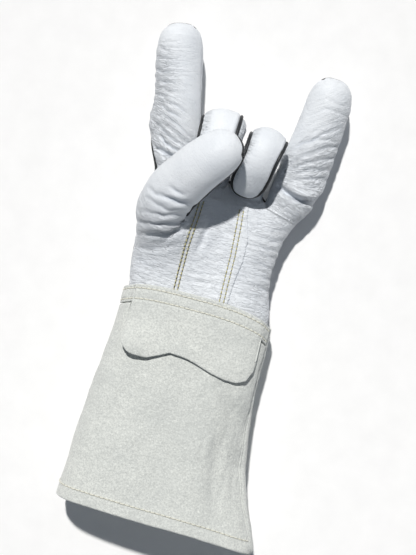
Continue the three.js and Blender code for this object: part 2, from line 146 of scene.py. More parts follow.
# ---------------------------------------------------------------- digits
class Digit:
    """The tube round one digit. Angles: 0 is its palm side, 90 towards side, 180 its back."""

    STEPS = 60  # between two knots of the path

    def __init__(self, path, side, widths, depths):
        self.knots = np.array(path, float)
        self.side = unit(side)
        self.widths = widths
        self.depths = depths
        self.t = np.linspace(0, len(path) - 1, self.STEPS * (len(path) - 1) + 1)
        self.line = np.array([self._spline(t) for t in self.t])
        self.s = distances(self.line)
        self.length = self.s[-1]
        self.slope = unit(np.gradient(self.line, self.s, axis=0))
        self.tip = widths[-1]

    def _spline(self, t):
        """A centripetal Catmull-Rom spline through the knots."""
        k = min(int(t), len(self.knots) - 2)
        p = self.knots
        before = p[k - 1] if k else 2 * p[0] - p[1]
        after = p[k + 2] if k + 2 < len(p) else 2 * p[-1] - p[-2]
        a, b, c, d = before, p[k], p[k + 1], after
        ab, bc, cd = (np.linalg.norm(q - r) ** 0.5 for q, r in ((b, a), (c, b), (d, c)))
        start = ((b - a) / ab - (c - a) / (ab + bc) + (c - b) / bc) * bc
        stop = ((c - b) / bc - (d - b) / (bc + cd) + (d - c) / cd) * bc
        u = t - k
        return (
            (2 * u**3 - 3 * u**2 + 1) * b
            + (u**3 - 2 * u**2 + u) * start
            + (3 * u**2 - 2 * u**3) * c
            + (u**3 - u**2) * stop
        )

    def frame_at(self, s):
        """Centre, palm direction and side direction at distances s along the line."""
        s = np.atleast_1d(np.asarray(s, float))
        inside = np.clip(s, 0, self.length)
        along = unit(read_at(inside, self.s, self.slope))
        centre = read_at(inside, self.s, self.line) + along * (s - inside)[:, None]
        palm = unit(np.cross(self.side, along))
        return centre, palm, unit(np.cross(along, palm))

    def point(self, s, degrees, scale=1.0):
        centre, palm, across = self.frame_at(s)
        t = np.interp(s, self.s, self.t)
        width, depth = (np.interp(t, range(len(k)), k) for k in (self.widths, self.depths))
        a = np.radians(degrees)
        return centre[0] + palm[0] * (depth * scale * math.cos(a)) + across[0] * (width * scale * math.sin(a))

    def nearest(self, points):
        """Distance along the line of the place nearest to each point."""
        return self.s[nearest(points, self.line)[0]]


DIGITS = {
    "index": Digit(
        [[-38.6, 88, 20], [-43.4, 109, 21.5], [-48.1, 134, 23.5], [-54.0, 160, 25], [-59.5, 190.5, 26]],
        [0.979, 0.202, 0],
        [13.2, 16.8, 16.8, 17, 16.8],
        [15, 15, 14.8, 14.2, 13.5],
    ),
    "middle": Digit(
        [[-12.4, 90, 19.5], [-12.3, 102, 24], [-12.2, 115, 35], [-12.1, 127.4, 48],
         [-12.3, 121.5, 57.5], [-12.8, 108, 58], [-13, 97, 49.5], [-12.8, 87, 39]],
        [1, 0, 0],
        [12.2, 13, 14.7, 16.2, 16.2, 14.7, 13.2, 12.2],
        [13, 11.5, 10.8, 11.6, 11.6, 10.2, 9.6, 9.6],
    ),
    "ring": Digit(
        [[13.6, 87.5, 19.5], [15.3, 98.5, 24], [17.8, 110, 34], [19.7, 122, 46],
         [18.9, 117, 55.5], [16.4, 105, 56], [13.6, 95, 48.5], [11.2, 84.5, 39]],
        [0.975, -0.16, -0.153],
        [12.2, 12.8, 13.3, 13.7, 13.7, 12.9, 13.2, 13],
        [13, 11.2, 10.6, 11.4, 11.4, 10, 9.6, 9.4],
    ),
    "little": Digit(
        [[41, 77.5, 19], [46.6, 98, 20.5], [50.2, 119, 23], [53.2, 143, 26], [56, 177.5, 29]],
        [0.99, -0.136, 0],
        [13.6, 17.6, 18.4, 17, 15.8],
        [14.5, 14.8, 14.6, 14, 13.4],
    ),
    "thumb": Digit(
        [[-41.2, 47, 40], [-41.2, 57.5, 48], [-36.4, 71.8, 61], [-27.4, 84.3, 71.5],
         [-17, 97, 79.5], [-0.2, 113.8, 84.5]],
        [-0.453, 0.73, -0.508],
        [18.2, 18.8, 18.8, 18.2, 17, 16],
        [16, 16.6, 16.6, 16, 15, 14],
    ),
}
FINGERS = ["index", "middle", "ring", "little"]
CURLED = ["middle", "ring"]

# ---------------------------------------------------------------- the hand's tube
# The hand's left and right edges, lowest and highest point at several heights. The ball of the thumb
# and the little finger's pad rise over that.
SQUARENESS = 2.9
HAND_Y = [-12, 0, 8, 16, 28, 45, 68, 92]
HAND = {
    "left": [-50.2, -51.8, -53.8, -54.8, -56.2, -56.5, -54.5, -54.4],
    "right": [50.2, 52.2, 51.6, 48.5, 46.0, 46.6, 50.5, 56.0],
    "low": [3, 3, 2.8, 2, 1, 0, 0, 0],
    "high": [46.8, 46.0, 45, 44, 42.3, 40.5, 39, 37.5],
}
HEEL_Y = -11
EDGE_SHARE = 0.97  # of the half width: palm and back stop short of the side's steep curve


def hand_size(name, y):
    """The hand's middle or half width in X, or its lowest or highest Z."""
    if name in HAND:
        return np.interp(y, HAND_Y, HAND[name])
    left, right = hand_size("left", y), hand_size("right", y)
    return (left + right) / 2 if name == "centre" else (right - left) / 2


def hand_section(share, y):
    """X at a share of the half width, and the middle and half of the height."""
    low, high = hand_size("low", y), hand_size("high", y)
    x = hand_size("centre", y) + hand_size("half", y) * share
    return x, (low + high) / 2, (high - low) / 2


def pad_rise(x, y):
    """The ball of the thumb and the pad on the little-finger side."""
    thenar = 20.5 * np.exp(-(((x + 31) / 16.5) ** 2) - ((y - 54) / 24) ** 2)
    return thenar + 3 * np.exp(-(((x - 36) / 20) ** 2) - ((y - 40) / 28) ** 2)


def hand_point(share, y, palm):
    """The point of the palm or the back at a share from -1 to 1 of the half width."""
    x, middle, half = hand_section(share, y)
    rise = (1 - min(abs(share), 1) ** SQUARENESS) ** (1 / SQUARENESS)
    if palm:
        return np.array([x, y, middle + half * rise + rise * pad_rise(x, y)])
    return np.array([x, y, middle - half * min(1, rise * 1.07)])


def palm_height(x, y):
    share = (x - hand_size("centre", y)) / hand_size("half", y)
    return hand_point(np.clip(share, -EDGE_SHARE, EDGE_SHARE), y, True)[2]


def side_point(degrees, y):
    """The point of the hand's side at an angle: 90 is the little-finger side, 0 the palm."""
    a = math.radians(degrees)
    across, up = (math.copysign(abs(v) ** (2 / SQUARENESS), v) for v in (math.sin(a), math.cos(a)))
    x, middle, half = hand_section(across, y)
    return np.array([x, y, middle + half * up])


# ---------------------------------------------------------------- the cage
# A digit's ring has 12 points, at these angles: P is its palm side, R the side towards the little
# finger, B its back and L the side towards the index finger.
RING = ["P0", "P1", "P2", "P3", "R0", "R1", "B0", "B1", "B2", "B3", "L0", "L1"]
ANGLES = [-45, -15, 15, 45, 75, 105, 135, 165, 195, 225, 255, 285]
ROWS = [0, 0.11, 0.22, 0.32, 0.41, 0.52, 0.63, 0.74, 0.87, 1]
THUMB_ROWS = (4, 7)  # the rows that bound the thumb's opening
THUMB_COLUMNS = (35, 0, 1)  # the columns of faces that it takes out
BACK_COLUMNS = (17, 33)  # the first and last column of the hand's back
SIDE_ANGLES = {("little", 4): 82, ("little", 5): 112, ("index", 10): -114, ("index", 11): -82}
SIDE_SWINGS = {("index", 10): 44, ("index", 11): 26}  # how far the thumb's side turns towards its top
PALM_SHIFTS = {("index", 0): 2, ("index", 1): 4.5, ("index", 2): 6.5, ("index", 3): 5, ("middle", 0): 2.5}
FRONT, RIGHT, LEFT, BACK = range(4)


class Cage:
    """Points, each with its distance from its digit's root, and quads with their part and panel."""

    def __init__(self):
        self.points = []
        self.s = []
        self.faces = []
        self.tags = []

    def add(self, point, s):
        self.points.append(np.asarray(point, float))
        self.s.append(s)
        return len(self.points) - 1

    def face(self, corners, part, panel):
        self.faces.append(corners)
        self.tags.append((part, panel))


PARTS = ["hand", *(f"{finger}_{half}" for finger in FINGERS for half in ("lower", "upper")), "thumb"]
RING_PANEL = [FRONT, FRONT, FRONT, FRONT, RIGHT, BACK, BACK, BACK, BACK, BACK, LEFT, FRONT]
THUMB_PIPING_FROM = 25
THUMB_CLEARS_PALM = 34  # how far from its root the thumb lies against the palm
THUMB_OVER_PALM = 1.5
SPLIT = {"index": 26, "middle": 27, "ring": 26, "little": 22}  # the lower piece's length


def ring_angles(name, s):
    """The angles of a ring's points: the piped seams swing out at the joints of a finger."""
    moved = {}
    if name == "index":
        low = 1 - smooth_step(s, 12, 36)
        moved = {"B3": 225 + 22 * low, "L0": 236 + 54 * low, "L1": 278 + 26 * low, "R1": 116}
    elif name == "little":
        moved = {"R0": 84, "R1": 122, "L0": 238}
    elif name == "middle":
        swing = smooth_step(s, 14, 30)
        moved = {"R1": 134 + 13 * swing, "R0": 84 + 12 * swing, "L0": 246 + 14 * swing, "L1": 292}
    elif name == "ring":
        pinch = 14 * smooth_step(s, 16, 32) + 13 * bump(s, 62, 8)
        turned = smooth_step(s, 54, 70)
        moved = {"R1": 138 - 28 * smooth_step(s, 10, 24) + pinch, "R0": 72 + 0.4 * pinch}
        moved |= {"L0": 262 - 24 * turned + 8 * bump(s, 78, 9), "L1": 292 - 6 * turned}
    angles = dict(zip(RING, ANGLES)) | moved
    angles["B0"] = max(angles["B0"], angles["R1"] + 14)
    angles["B1"] = max(angles["B1"], angles["B0"] + 18)
    return [float(angles[k]) for k in RING]


def add_digit(cage, name, base, first=6.0, spacing=6.4):
    """Rings of faces from the ring of base points up to a rounded tip."""
    digit = DIGITS[name]
    previous = base
    last = digit.length - digit.tip * 0.98
    rings = [(s, 1.0) for s in np.linspace(first, last, max(2, round((last - first) / spacing)) + 1)]
    for degrees in TIP_RINGS:
        along = math.sin(math.radians(degrees))
        rings.append((digit.length - digit.tip * (1 - along), (1 - along**BLUNTNESS) ** (1 / BLUNTNESS)))
    for s, scale in rings:
        ring = [digit.point(s, a, scale * ROUND) for a in ring_angles(name, s)]
        if name == "thumb" and s < THUMB_CLEARS_PALM:
            for p in ring:
                p[2] = max(p[2], palm_height(p[0], p[1]) + THUMB_OVER_PALM)
        ring = [cage.add(p, s) for p in ring]
        part = part_of(name, (s + cage.s[previous[0]]) / 2)
        for k in range(len(RING)):
            n = (k + 1) % len(RING)
            cage.face([previous[k], previous[n], ring[n], ring[k]], part, panel_of(name, k))
        previous = ring
    add_tip(cage, name, previous)


def part_of(name, s):
    """Which part a place on a digit belongs to."""
    if name == "thumb":
        return "thumb"
    return name + ("_lower" if s < SPLIT[name] else "_upper")


def panel_of(name, k):
    """Which leather the face after ring point k belongs to."""
    panel = RING_PANEL[k]
    if name == "thumb":
        return FRONT if k < 4 else BACK
    if (name, panel) in (("index", LEFT), ("little", RIGHT)):
        return FRONT
    return panel


def add_tip(cage, name, ring):
    """Nine faces that close a digit's last ring."""
    digit = DIGITS[name]
    inner = []
    for degrees in (-45, 45, 135, 225):
        spread = 0.4 if degrees < 90 else 0.55
        inner.append(cage.add(digit.point(digit.length + 0.6, degrees, spread), digit.length))
    r, part = ring, part_of(name, digit.length)
    palm_left, palm_right, back_right, back_left = inner
    rows = [
        [r[0], r[1], r[2], r[3]],
        [r[11], palm_left, palm_right, r[4]],
        [r[10], back_left, back_right, r[5]],
        [r[9], r[8], r[7], r[6]],
    ]
    panels = [FRONT, FRONT, BACK] if name != "thumb" else [FRONT, BACK, BACK]
    for i, panel in enumerate(panels):
        for j in range(3):
            cage.face([rows[i][j], rows[i][j + 1], rows[i + 1][j + 1], rows[i + 1][j]], part, panel)


def palm_rows(cage, base, columns):
    """Rows of points round the hand, from its heel up to the roots of the fingers."""
    rows = []
    for t in ROWS[:-1]:
        row = []
        for column in columns:
            finger, k = column
            top = cage.points[base[finger][k]]
            y = between(t, HEEL_Y, top[1])
            if column in SIDE_ANGLES:
                p = side_point(SIDE_ANGLES[column] + SIDE_SWINGS.get(column, 0) * t**5, y)
            else:
                share = (top[0] - hand_size("centre", HAND_Y[-1])) / hand_size("half", HAND_Y[-1])
                share += PALM_SHIFTS.get(column, 0) / 50 * float(bump(y, 36, 26))
                p = hand_point(np.clip(share * 1.02, -EDGE_SHARE, EDGE_SHARE), y, k < 4)
            row.append(cage.add(p, y - top[1]))
        rows.append(row)
    return [*rows, [base[finger][k] for finger, k in columns]]


def build_cage():
    """The coarse form of the whole hand: the palm and back, the webs between fingers, and digits."""
    cage = Cage()
    base = {}
    for name in FINGERS:
        base[name] = [cage.add(DIGITS[name].point(0, a, ROUND), 0.0) for a in ring_angles(name, 0)]
    columns = [(f, k) for f in FINGERS for k in range(4)] + [("little", 4), ("little", 5)]
    columns += [(f, k) for f in reversed(FINGERS) for k in (6, 7, 8, 9)] + [("index", 10), ("index", 11)]
    grid = palm_rows(cage, base, columns)
    low, high = THUMB_ROWS
    for i in range(len(ROWS) - 1):
        for j, n in enumerate([*range(1, len(columns)), 0]):
            if low <= i < high and j in THUMB_COLUMNS:
                continue
            panel = FRONT if j < BACK_COLUMNS[0] or j > BACK_COLUMNS[1] else BACK
            cage.face([grid[i][j], grid[i][n], grid[i + 1][n], grid[i + 1][j]], "hand", panel)
    for a, b in zip(FINGERS, FINGERS[1:]):
        p, q = base[a], base[b]
        cage.face([p[3], q[0], q[11], p[4]], "hand", FRONT)
        cage.face([p[4], q[11], q[10], p[5]], "hand", RIGHT)
        cage.face([p[5], q[10], q[9], p[6]], "hand", BACK)
    for name in FINGERS:
        add_digit(cage, name, base[name])
    left, *middle, right = (*THUMB_COLUMNS, THUMB_COLUMNS[-1] + 1)
    rim = [grid[i][right] for i in range(low, high + 1)] + [grid[high][j] for j in middle[::-1]]
    rim += [grid[i][left] for i in range(high, low - 1, -1)] + [grid[low][j] for j in middle]
    add_digit(cage, "thumb", rim, first=10.0, spacing=7.0)
    return cage


def subdivide(values, faces):
    """One round of Catmull-Clark. values are points with their other numbers, one row each."""
    count = len(values)
    centres = values[faces].mean(1)
    edges = edges_of(faces)
    unique, which, uses = np.unique(np.sort(edges, 1), axis=0, return_inverse=True, return_counts=True)
    which = which.ravel()
    around = np.zeros((len(unique), values.shape[1]))
    np.add.at(around, which, np.repeat(centres, 4, 0))
    ends = values[unique]
    rim = uses == 1
    middles = ends.mean(1)
    edge_points = np.where(rim[:, None], middles, (ends.sum(1) + around) / 4)

    faces_at = np.bincount(faces.ravel(), minlength=count)[:, None]
    face_mean = np.zeros_like(values)
    np.add.at(face_mean, faces.ravel(), np.repeat(centres, 4, 0))
    face_mean /= faces_at
    edges_at = np.bincount(unique.ravel(), minlength=count)[:, None]
    edge_mean = np.zeros_like(values)
    np.add.at(edge_mean, unique.ravel(), np.repeat(middles, 2, 0))
    edge_mean /= edges_at
    moved = (face_mean + 2 * edge_mean + (faces_at - 3) * values) / faces_at
    rim_sum = np.zeros_like(values)
    np.add.at(rim_sum, unique[rim].ravel(), values[unique[rim][:, ::-1]].reshape(-1, values.shape[1]))
    on_rim = np.zeros(count, bool)
    on_rim[unique[rim].ravel()] = True
    moved[on_rim] = values[on_rim] * 0.75 + rim_sum[on_rim] / 8

    at_edge = count + which.reshape(-1, 4)
    at_face = count + len(unique) + np.arange(len(faces))
    quads = np.stack(
        [np.stack([faces[:, k], at_edge[:, k], at_face, at_edge[:, k - 1]], 1) for k in range(4)], 1
    ).reshape(-1, 4)
    return np.concatenate([moved, edge_points, centres]), quads


def vertex_normals(points, faces):
    """Directions out of a surface at its vertices, from the faces round each."""
    a, b, c, d = (points[faces[:, k]] for k in range(4))
    flat = np.cross(c - a, d - b)
    total = np.zeros_like(points)
    for k in range(4):
        np.add.at(total, faces[:, k], flat)
    return unit(total)


# ---------------------------------------------------------------- the leather's surface
class Surface:
    """The whole hand of the glove as one fine mesh, before it is cut into its pieces."""

    def __init__(self, cage):
        used, faces = np.unique(np.array(cage.faces), return_inverse=True)
        faces = faces.reshape(-1, 4)
        values = np.column_stack([np.array(cage.points), np.array(cage.s)])[used]
        for _ in range(LEVELS):
            values, faces = subdivide(values, faces)
        self.points = values[:, :3]
        self.s = values[:, 3]
        self.faces = faces
        copies = 4**LEVELS
        self.part = np.repeat([PARTS.index(part) for part, _ in cage.tags], copies)
        self.panel = np.repeat([panel for _, panel in cage.tags], copies)
        # The edges that two faces share, and those two faces.
        edges = edges_of(faces)
        owner = np.repeat(np.arange(len(faces)), 4)
        keys = edges.min(1) * len(values) + edges.max(1)
        order = np.argsort(keys, kind="stable")
        same = keys[order][:-1] == keys[order][1:]
        self.pairs = np.stack([owner[order][:-1][same], owner[order][1:][same]], 1)
        self.shared = edges[order][:-1][same]

    def normals(self):
        return vertex_normals(self.points, self.faces)

    def vertices_of(self, label):
        """Which vertices lie on the parts that a label such as "hand thumb" names."""
        numbers = [i for i, part in enumerate(PARTS) if part.split("_")[0] in label.split()]
        inside = np.zeros(len(self.points), bool)
        inside[self.faces[np.isin(self.part, numbers)].ravel()] = True
        return inside

    def seams(self, piped):
        """Which shared edges lie along a seam: piped seams bound the back leather."""
        a, b = self.panel[self.pairs].T
        first, second = self.part[self.pairs].T
        if not piped:
            return (a != b) & (a != BACK) & (b != BACK) & (first == second)
        clear = (first != PARTS.index("thumb")) | (self.s[self.shared].min(1) > THUMB_PIPING_FROM)
        return ((a == BACK) != (b == BACK)) & (first == second) & clear

    def distance_to_seams(self, piped):
        edges = self.shared[self.seams(piped)]
        return nearest(self.points, self.points[np.unique(edges)])[1]


def creases(noise, points, width):
    """1 along the winding lines where the noise crosses zero, falling to 0 beside them."""
    return np.exp(-((noise(points) / width) ** 2))


# Folds that the hand inside has pressed into the leather, on the side that faces up, by the parts
# they lie on. Each is its depth, its half width and the points (x, y) that it runs through.
FOLDS = {
    "index": [  # Across its base, where the leather gathers, and short ones up its outer edge.
        (1.3, 1.5, (-54.5, 118.6), (-43.9, 114.1), (-30.5, 107.9)),
        (1.0, 1.3, (-57.1, 123.9), (-45.3, 119.7), (-30.2, 111.6)),
        (2.0, 1.5, (-57, 114), (-50.5, 105.5), (-42, 102.3), (-34, 100.5)),
        (1.6, 1.6, (-61.7, 121.4), (-53.1, 113), (-42.2, 107.4)),
        (1.0, 1.3, (-60.1, 131.4), (-51.7, 126.4), (-42.8, 123.9)),
        (0.8, 1.3, (-57.3, 134.5), (-48.4, 132), (-38.9, 127.2)),
        (2.8, 2.0, (-55.5, 101.5), (-47.5, 98), (-40.5, 97), (-34, 98)),
        (1.0, 1.2, (-65, 137.6), (-60, 136.5), (-54.5, 137.2)),
        (0.6, 1.2, (-61.8, 142.2), (-55.4, 140.2), (-49.5, 140.5)),
        (0.8, 1.2, (-67.7, 147.7), (-61, 145.9), (-53.7, 146.4)),
        (0.8, 1.2, (-68.8, 153.5), (-62.7, 152.7), (-57, 153.8)),
        (0.6, 1.2, (-70.9, 163.5), (-66.4, 162.2), (-60.5, 162.5)),
        (0.6, 1.2, (-73, 171), (-66.7, 168.1), (-60.8, 165.6)),
    ],
    "little": [  # A fan of creases that rises from its base.
        (1.2, 1.4, (33.3, 119.1), (41.9, 127.2), (53.4, 133.6), (63.7, 135)),
        (1.3, 1.5, (35.5, 110.1), (44.2, 118.2), (56.2, 127.2), (70.2, 133)),
        (1.3, 1.5, (36, 105.1), (45.6, 112.9), (57.3, 119.4), (69, 124.8)),
        (1.1, 1.4, (39.1, 104.1), (49.7, 110.1), (62.1, 114.2), (69.9, 115.5)),
        (0.9, 1.4, (37.4, 116.6), (45.6, 126.9), (55.9, 137.8), (67.1, 145.3)),
        (0.8, 1.3, (39.4, 123), (46.4, 133.1), (53.7, 142)),
        (1.2, 1.5, (37.7, 99.2), (48.6, 103.1), (60.9, 107.8), (68.5, 108.5)),
        (0.5, 1.2, (42.8, 147.6), (52.9, 154.9), (64.9, 154.3), (70.7, 154.6)),
        (0.5, 1.2, (52.3, 161.8), (61.2, 159.3), (69.1, 161.3)),
    ],
    "little hand": [  # The deep fold under the little finger's base.
        (5.2, 2.8, (35, 94.5), (43.9, 90.8), (51.1, 88.8), (60.1, 91), (67.7, 97.6)),
        (2.4, 3.4, (46, 86), (53, 85), (61, 88)),
    ],
    "hand": [  # The heel of the thumb, one soft upright fold, light ones across and the little-finger side.
        (1.2, 2.0, (37, 86), (45, 81), (55, 78)),
        (0.7, 1.5, (-49.7, 22.4), (-42.7, 19.6), (-34.2, 18.1), (-27.6, 20.7)),
        (1.3, 2.2, (-6, 60), (-7.9, 46.5), (-9.1, 36.7)),
        (0.5, 1.3, (-8.5, 30.9), (-2.1, 34.3), (9.1, 33.9)),
        (0.5, 1.3, (-15.8, 16.4), (-3.2, 16.8), (9.3, 18.5)),
        (0.4, 1.2, (-12, 22.4), (0.7, 23.2), (10.4, 25.5)),
        (0.9, 1.4, (31, 40.5), (40.6, 38), (48.3, 38.5)),
        (0.8, 1.4, (30, 46.5), (40.9, 45.1), (48.4, 46)),
        (1.0, 1.4, (26.4, 51.5), (37.8, 49.8), (48.5, 52.7)),
        (0.9, 1.4, (29.5, 57.8), (40.7, 57), (49.6, 60.1)),
        (0.8, 1.4, (27.3, 64.6), (36.7, 63.4), (48.4, 67)),
        (0.7, 1.4, (36, 31.2), (42.7, 30.4), (47.5, 32.2)),
        (0.7, 1.4, (33, 24.2), (40.7, 22.4), (47.5, 23.2)),
    ],
    "hand thumb": [  # Arcs over the ball of the thumb, which follow its bend.
        (1.0, 1.5, (-54.1, 55), (-45, 54.3), (-36.1, 54.7), (-26.1, 58.1), (-16.3, 62.3)),
        (1.3, 1.6, (-56.9, 47.1), (-46.7, 46.6), (-36.3, 48.3), (-25, 53.8), (-18.9, 58.1)),
        (1.3, 1.6, (-54.9, 38.8), (-43.3, 40.3), (-29.9, 44.5), (-18.9, 51.9)),
        (1.0, 1.5, (-52.5, 29.8), (-44.6, 30.9), (-34.2, 32.6), (-23.8, 38.5)),
        (1.6, 1.7, (-43, 68), (-36.8, 65.8), (-29, 64.8), (-19, 66)),
    ],
    "thumb": [  # Short creases at its root.
        (1.0, 1.5, (-37.1, 73.9), (-31.5, 71), (-26.6, 70.7)),
        (0.8, 1.5, (-50.5, 63.8), (-42.6, 60.2), (-34.5, 58.3), (-26, 61)),
        (0.9, 1.4, (-52, 71), (-46, 67.2), (-41, 66)),
    ],
}


def stroke(points, line, half_width):
    """Closeness, from 0 to 1, of points in plan to a line that tapers towards its ends."""
    line = np.array(line, float)
    lengths = distances(line)
    count = 40
    dense = relaxed(read_at(np.linspace(0, lengths[-1], count), lengths, line), 12)
    d = np.linalg.norm(points[:, None, :2] - dense[None], axis=2)
    near = d.argmin(1)
    taper = np.sin(np.pi * np.clip(near / (count - 1), 0.08, 0.92)) ** 0.6
    return np.exp(-((d.min(1) / half_width) ** 2)) * taper


def add_folds(surface, height, normals):
    """Presses the folds into the height, each with a low swell on both sides."""
    wander = Noise(61)
    for label, folds in FOLDS.items():
        facing = surface.vertices_of(label) & (normals[:, 2] > -0.3)
        for depth, half_width, *line in folds:
            near = np.min(line, 0) - 5 * half_width < surface.points[:, :2]
            near &= surface.points[:, :2] < np.max(line, 0) + 5 * half_width
            ids = np.flatnonzero(facing & near.all(1))
            p = surface.points[ids]
            bent = p + 0.9 * np.stack([wander(p / 7), wander(p / 7 + 30), 0 * p[:, 0]], 1)
            deep = smooth_step(normals[ids, 2], -0.3, 0.1) * depth * (0.8 if label == "little" else 1)
            valley = stroke(bent, line, half_width)
            height[ids] += deep * (0.6 * (stroke(bent, line, 2.6 * half_width) - valley) - valley)


def straightened(surface):
    """Where each vertex would lie if the digits were straight: along, across and out, in mm.

    The creases are drawn in this space. It is sheared on two fingers, so that theirs run aslant.
    """
    place = surface.points[:, [1, 0, 2]].copy()
    for name, digit in DIGITS.items():
        ids = np.flatnonzero(surface.vertices_of(name))
        p = surface.points[ids]
        s = surface.s[ids] if name in CURLED else digit.nearest(p)
        centre, palm, across = digit.frame_at(s)
        d = p - centre
        local = np.stack([s, (d * across).sum(1), (d * palm).sum(1)], 1)
        aside = local[:, 1]
        if name == "index":
            local[:, 0] += 0.6 * aside * (1 - smooth_step(s, 45, 75))
        elif name == "little":
            local[:, 0] -= 0.8 * aside * smooth_step(s, 16, 48)
        elif name == "thumb":
            share = smooth_step(surface.s[ids], -8, 22)[:, None]
            local = place[ids] * (1 - share) + (local + [47, -41, 40]) * share
        place[ids] = local
    return place


def wrinkling(surface, place, normals):
    """How wrinkled the leather is at every vertex, from 0 to 1."""
    amount = np.full(len(place), 0.3)
    x, y = surface.points[:, 0], surface.points[:, 1]
    palm = normals[:, 2] > 0
    amount[palm] = (0.32 + 0.2 * bump(x, -42, 14) + 0.25 * bump(x, 40, 12))[palm]
    for name in DIGITS:
        ids = np.flatnonzero(surface.vertices_of(name))
        s, across, out = place[ids].T
        angle = np.degrees(np.arctan2(across, out))
        front = 0.5 + 0.5 * np.cos(np.radians(angle))
        if name == "index":
            edge = bump(angle, -60, 48) * (1 - smooth_step(s, 74, 96))
            amount[ids] = 0.15 + 0.6 * edge + 0.5 * front * (1 - smooth_step(s, 22, 44))
        elif name == "little":
            edge = bump(angle, 60, 50) * (1 - smooth_step(s, 66, 90))
            amount[ids] = 0.16 + 0.35 * edge + 0.5 * front * (1 - smooth_step(s, 40, 64))
        elif name == "thumb":
            amount[ids] = 0.08 + 0.5 * (1 - smooth_step(surface.s[ids], 14, 34))
        else:
            side = np.abs(np.sin(np.radians(angle)))
            amount[ids] = 0.05 + 0.8 * smooth_step(side, 0.7, 0.95) + 0.25 * front
    return np.clip(amount, 0, 1)


def relief(surface):
    """How far the leather stands out of the smooth form, in mm, at every vertex.

    It also marks how wrinkled and where along its digit each vertex is, for the material.
    """
    p = surface.points
    normals = surface.normals()
    straight = straightened(surface)
    wrinkle = wrinkling(surface, straight, normals)
    surface.marks = {"wrinkle": wrinkle, "straight": straight}
    soft = Noise(1)
    height = 0.45 * soft(p / 19) + 0.12 * soft(p / 8 + 5) * (0.3 + wrinkle)
    noise = Noise(7)
    bent = straight + 1.6 * np.stack([noise(p / 15 + 40 * k) for k in range(3)], 1)
    wide = creases(noise, bent / [7.5, 36, 36] + 3.1, 0.17)
    narrow = creases(noise, bent / [4.6, 26, 26] + 9.7, 0.24)
    height -= wrinkle * (0.55 * wide + 0.3 * narrow)
    # The leather bags out beside the index finger's knuckle, and the little finger's base hangs over.
    s, across, out = straight.T
    angle = np.degrees(np.arctan2(across, out))
    height += surface.vertices_of("index") * 3.2 * bump(s, 27, 13) * bump(angle, -92, 34)
    height += surface.vertices_of("little") * 3.4 * bump(s, 17, 7) * bump(angle, 40, 60)
    add_folds(surface, height, normals)
    return height


# A seam's groove: its depth, its reach, then the height, place and width of the swell beside it.
PIPED_GROOVE = (0.9, 1.5, 0.3, 3.4, 1.7)
PLAIN_GROOVE = (0.75, 0.8, 0.22, 2.6, 1.4)


def groove(away, depth, reach, swell, place, width):
    return swell * bump(away, place, width) - depth * bump(away, 0, reach)


def shape_surface(surface):
    """Presses the wrinkles, folds and seams into the leather. Returns the leather without the
    seams' grooves, where the piping lies, and the normals of the smooth form."""
    normals = surface.normals()
    height = relief(surface)
    piped, plain = surface.distance_to_seams(True), surface.distance_to_seams(False)
    height *= between(smooth_step(np.minimum(piped, plain), 0.3, 4), 0.25, 1)
    lines = surface.points + normals * height[:, None]
    grooves = groove(piped, *PIPED_GROOVE) + groove(plain, *PLAIN_GROOVE)
    surface.points = lines + normals * grooves[:, None]
    low_side = normals[:, 2] < 0
    surface.points[low_side, 2] = np.maximum(surface.points[low_side, 2], FLOOR_GAP)
    # How deep each fold lies; the materials paint shade into the folds by it.
    surface.marks["depth"] = np.clip(-height, 0, 3)
    return lines, normals


# ---------------------------------------------------------------- meshes
def make_mesh(name, points, faces, material, normals=None, **attributes):
    """An object from points in millimetres and quads, with smooth shading."""
    mesh = bpy.data.meshes.new(name)
    faces = np.asarray(faces)
    mesh.vertices.add(len(points))
    mesh.vertices.foreach_set("co", (np.asarray(points) * MM).astype(np.float32).ravel())
    mesh.loops.add(faces.size)
    mesh.loops.foreach_set("vertex_index", faces.ravel().astype(np.int32))
    mesh.polygons.add(len(faces))
    width = faces.shape[1]
    mesh.polygons.foreach_set("loop_start", np.arange(0, faces.size, width, dtype=np.int32))
    mesh.polygons.foreach_set("use_smooth", np.ones(len(faces), bool))
    mesh.update(calc_edges=True)
    mesh.validate()
    for key, value in attributes.items():
        value = np.asarray(value, np.float32)
        kind, field = ("FLOAT", "value") if value.ndim == 1 else ("FLOAT_VECTOR", "vector")
        mesh.attributes.new(key, kind, "POINT").data.foreach_set(field, value.ravel())
    if normals is not None:
        mesh.normals_split_custom_set(normals.tolist())
    mesh.materials.append(material)
    thing = bpy.data.objects.new(name, mesh)
    bpy.context.scene.collection.objects.link(thing)
    return thing


def rim_edges(faces):
    """Directed edges that only one face uses."""
    edges = edges_of(faces)
    size = edges.max() + 1
    forward = edges[:, 0] * size + edges[:, 1]
    backward = edges[:, 1] * size + edges[:, 0]
    return edges[~np.isin(forward, backward)]


def shell(name, points, normals, faces, thickness, material, **attributes):
    """A piece of leather: a surface, its inner side and its edges, as one closed mesh."""
    used, local = np.unique(faces, return_inverse=True)
    quads = local.reshape(faces.shape)
    outer, n = points[used], normals[used]
    inner = outer - n * thickness
    count = len(used)
    rim = rim_edges(quads)
    walls = np.stack([rim[:, 1], rim[:, 0], rim[:, 0] + count, rim[:, 1] + count], 1)
    everything = np.concatenate([quads, quads[:, ::-1] + count, walls])
    both = np.concatenate([outer, inner])
    a, b, c = (both[walls[:, k]] for k in (0, 1, 2))
    wall_normals = np.repeat(unit(np.cross(b - a, c - a)), 4, 0)
    loops = np.concatenate([n[quads.ravel()], -n[quads[:, ::-1].ravel()], wall_normals])
    values = {k: np.concatenate([np.asarray(v)[used]] * 2) for k, v in attributes.items()}
    return make_mesh(name, both, everything, material, loops, **values)


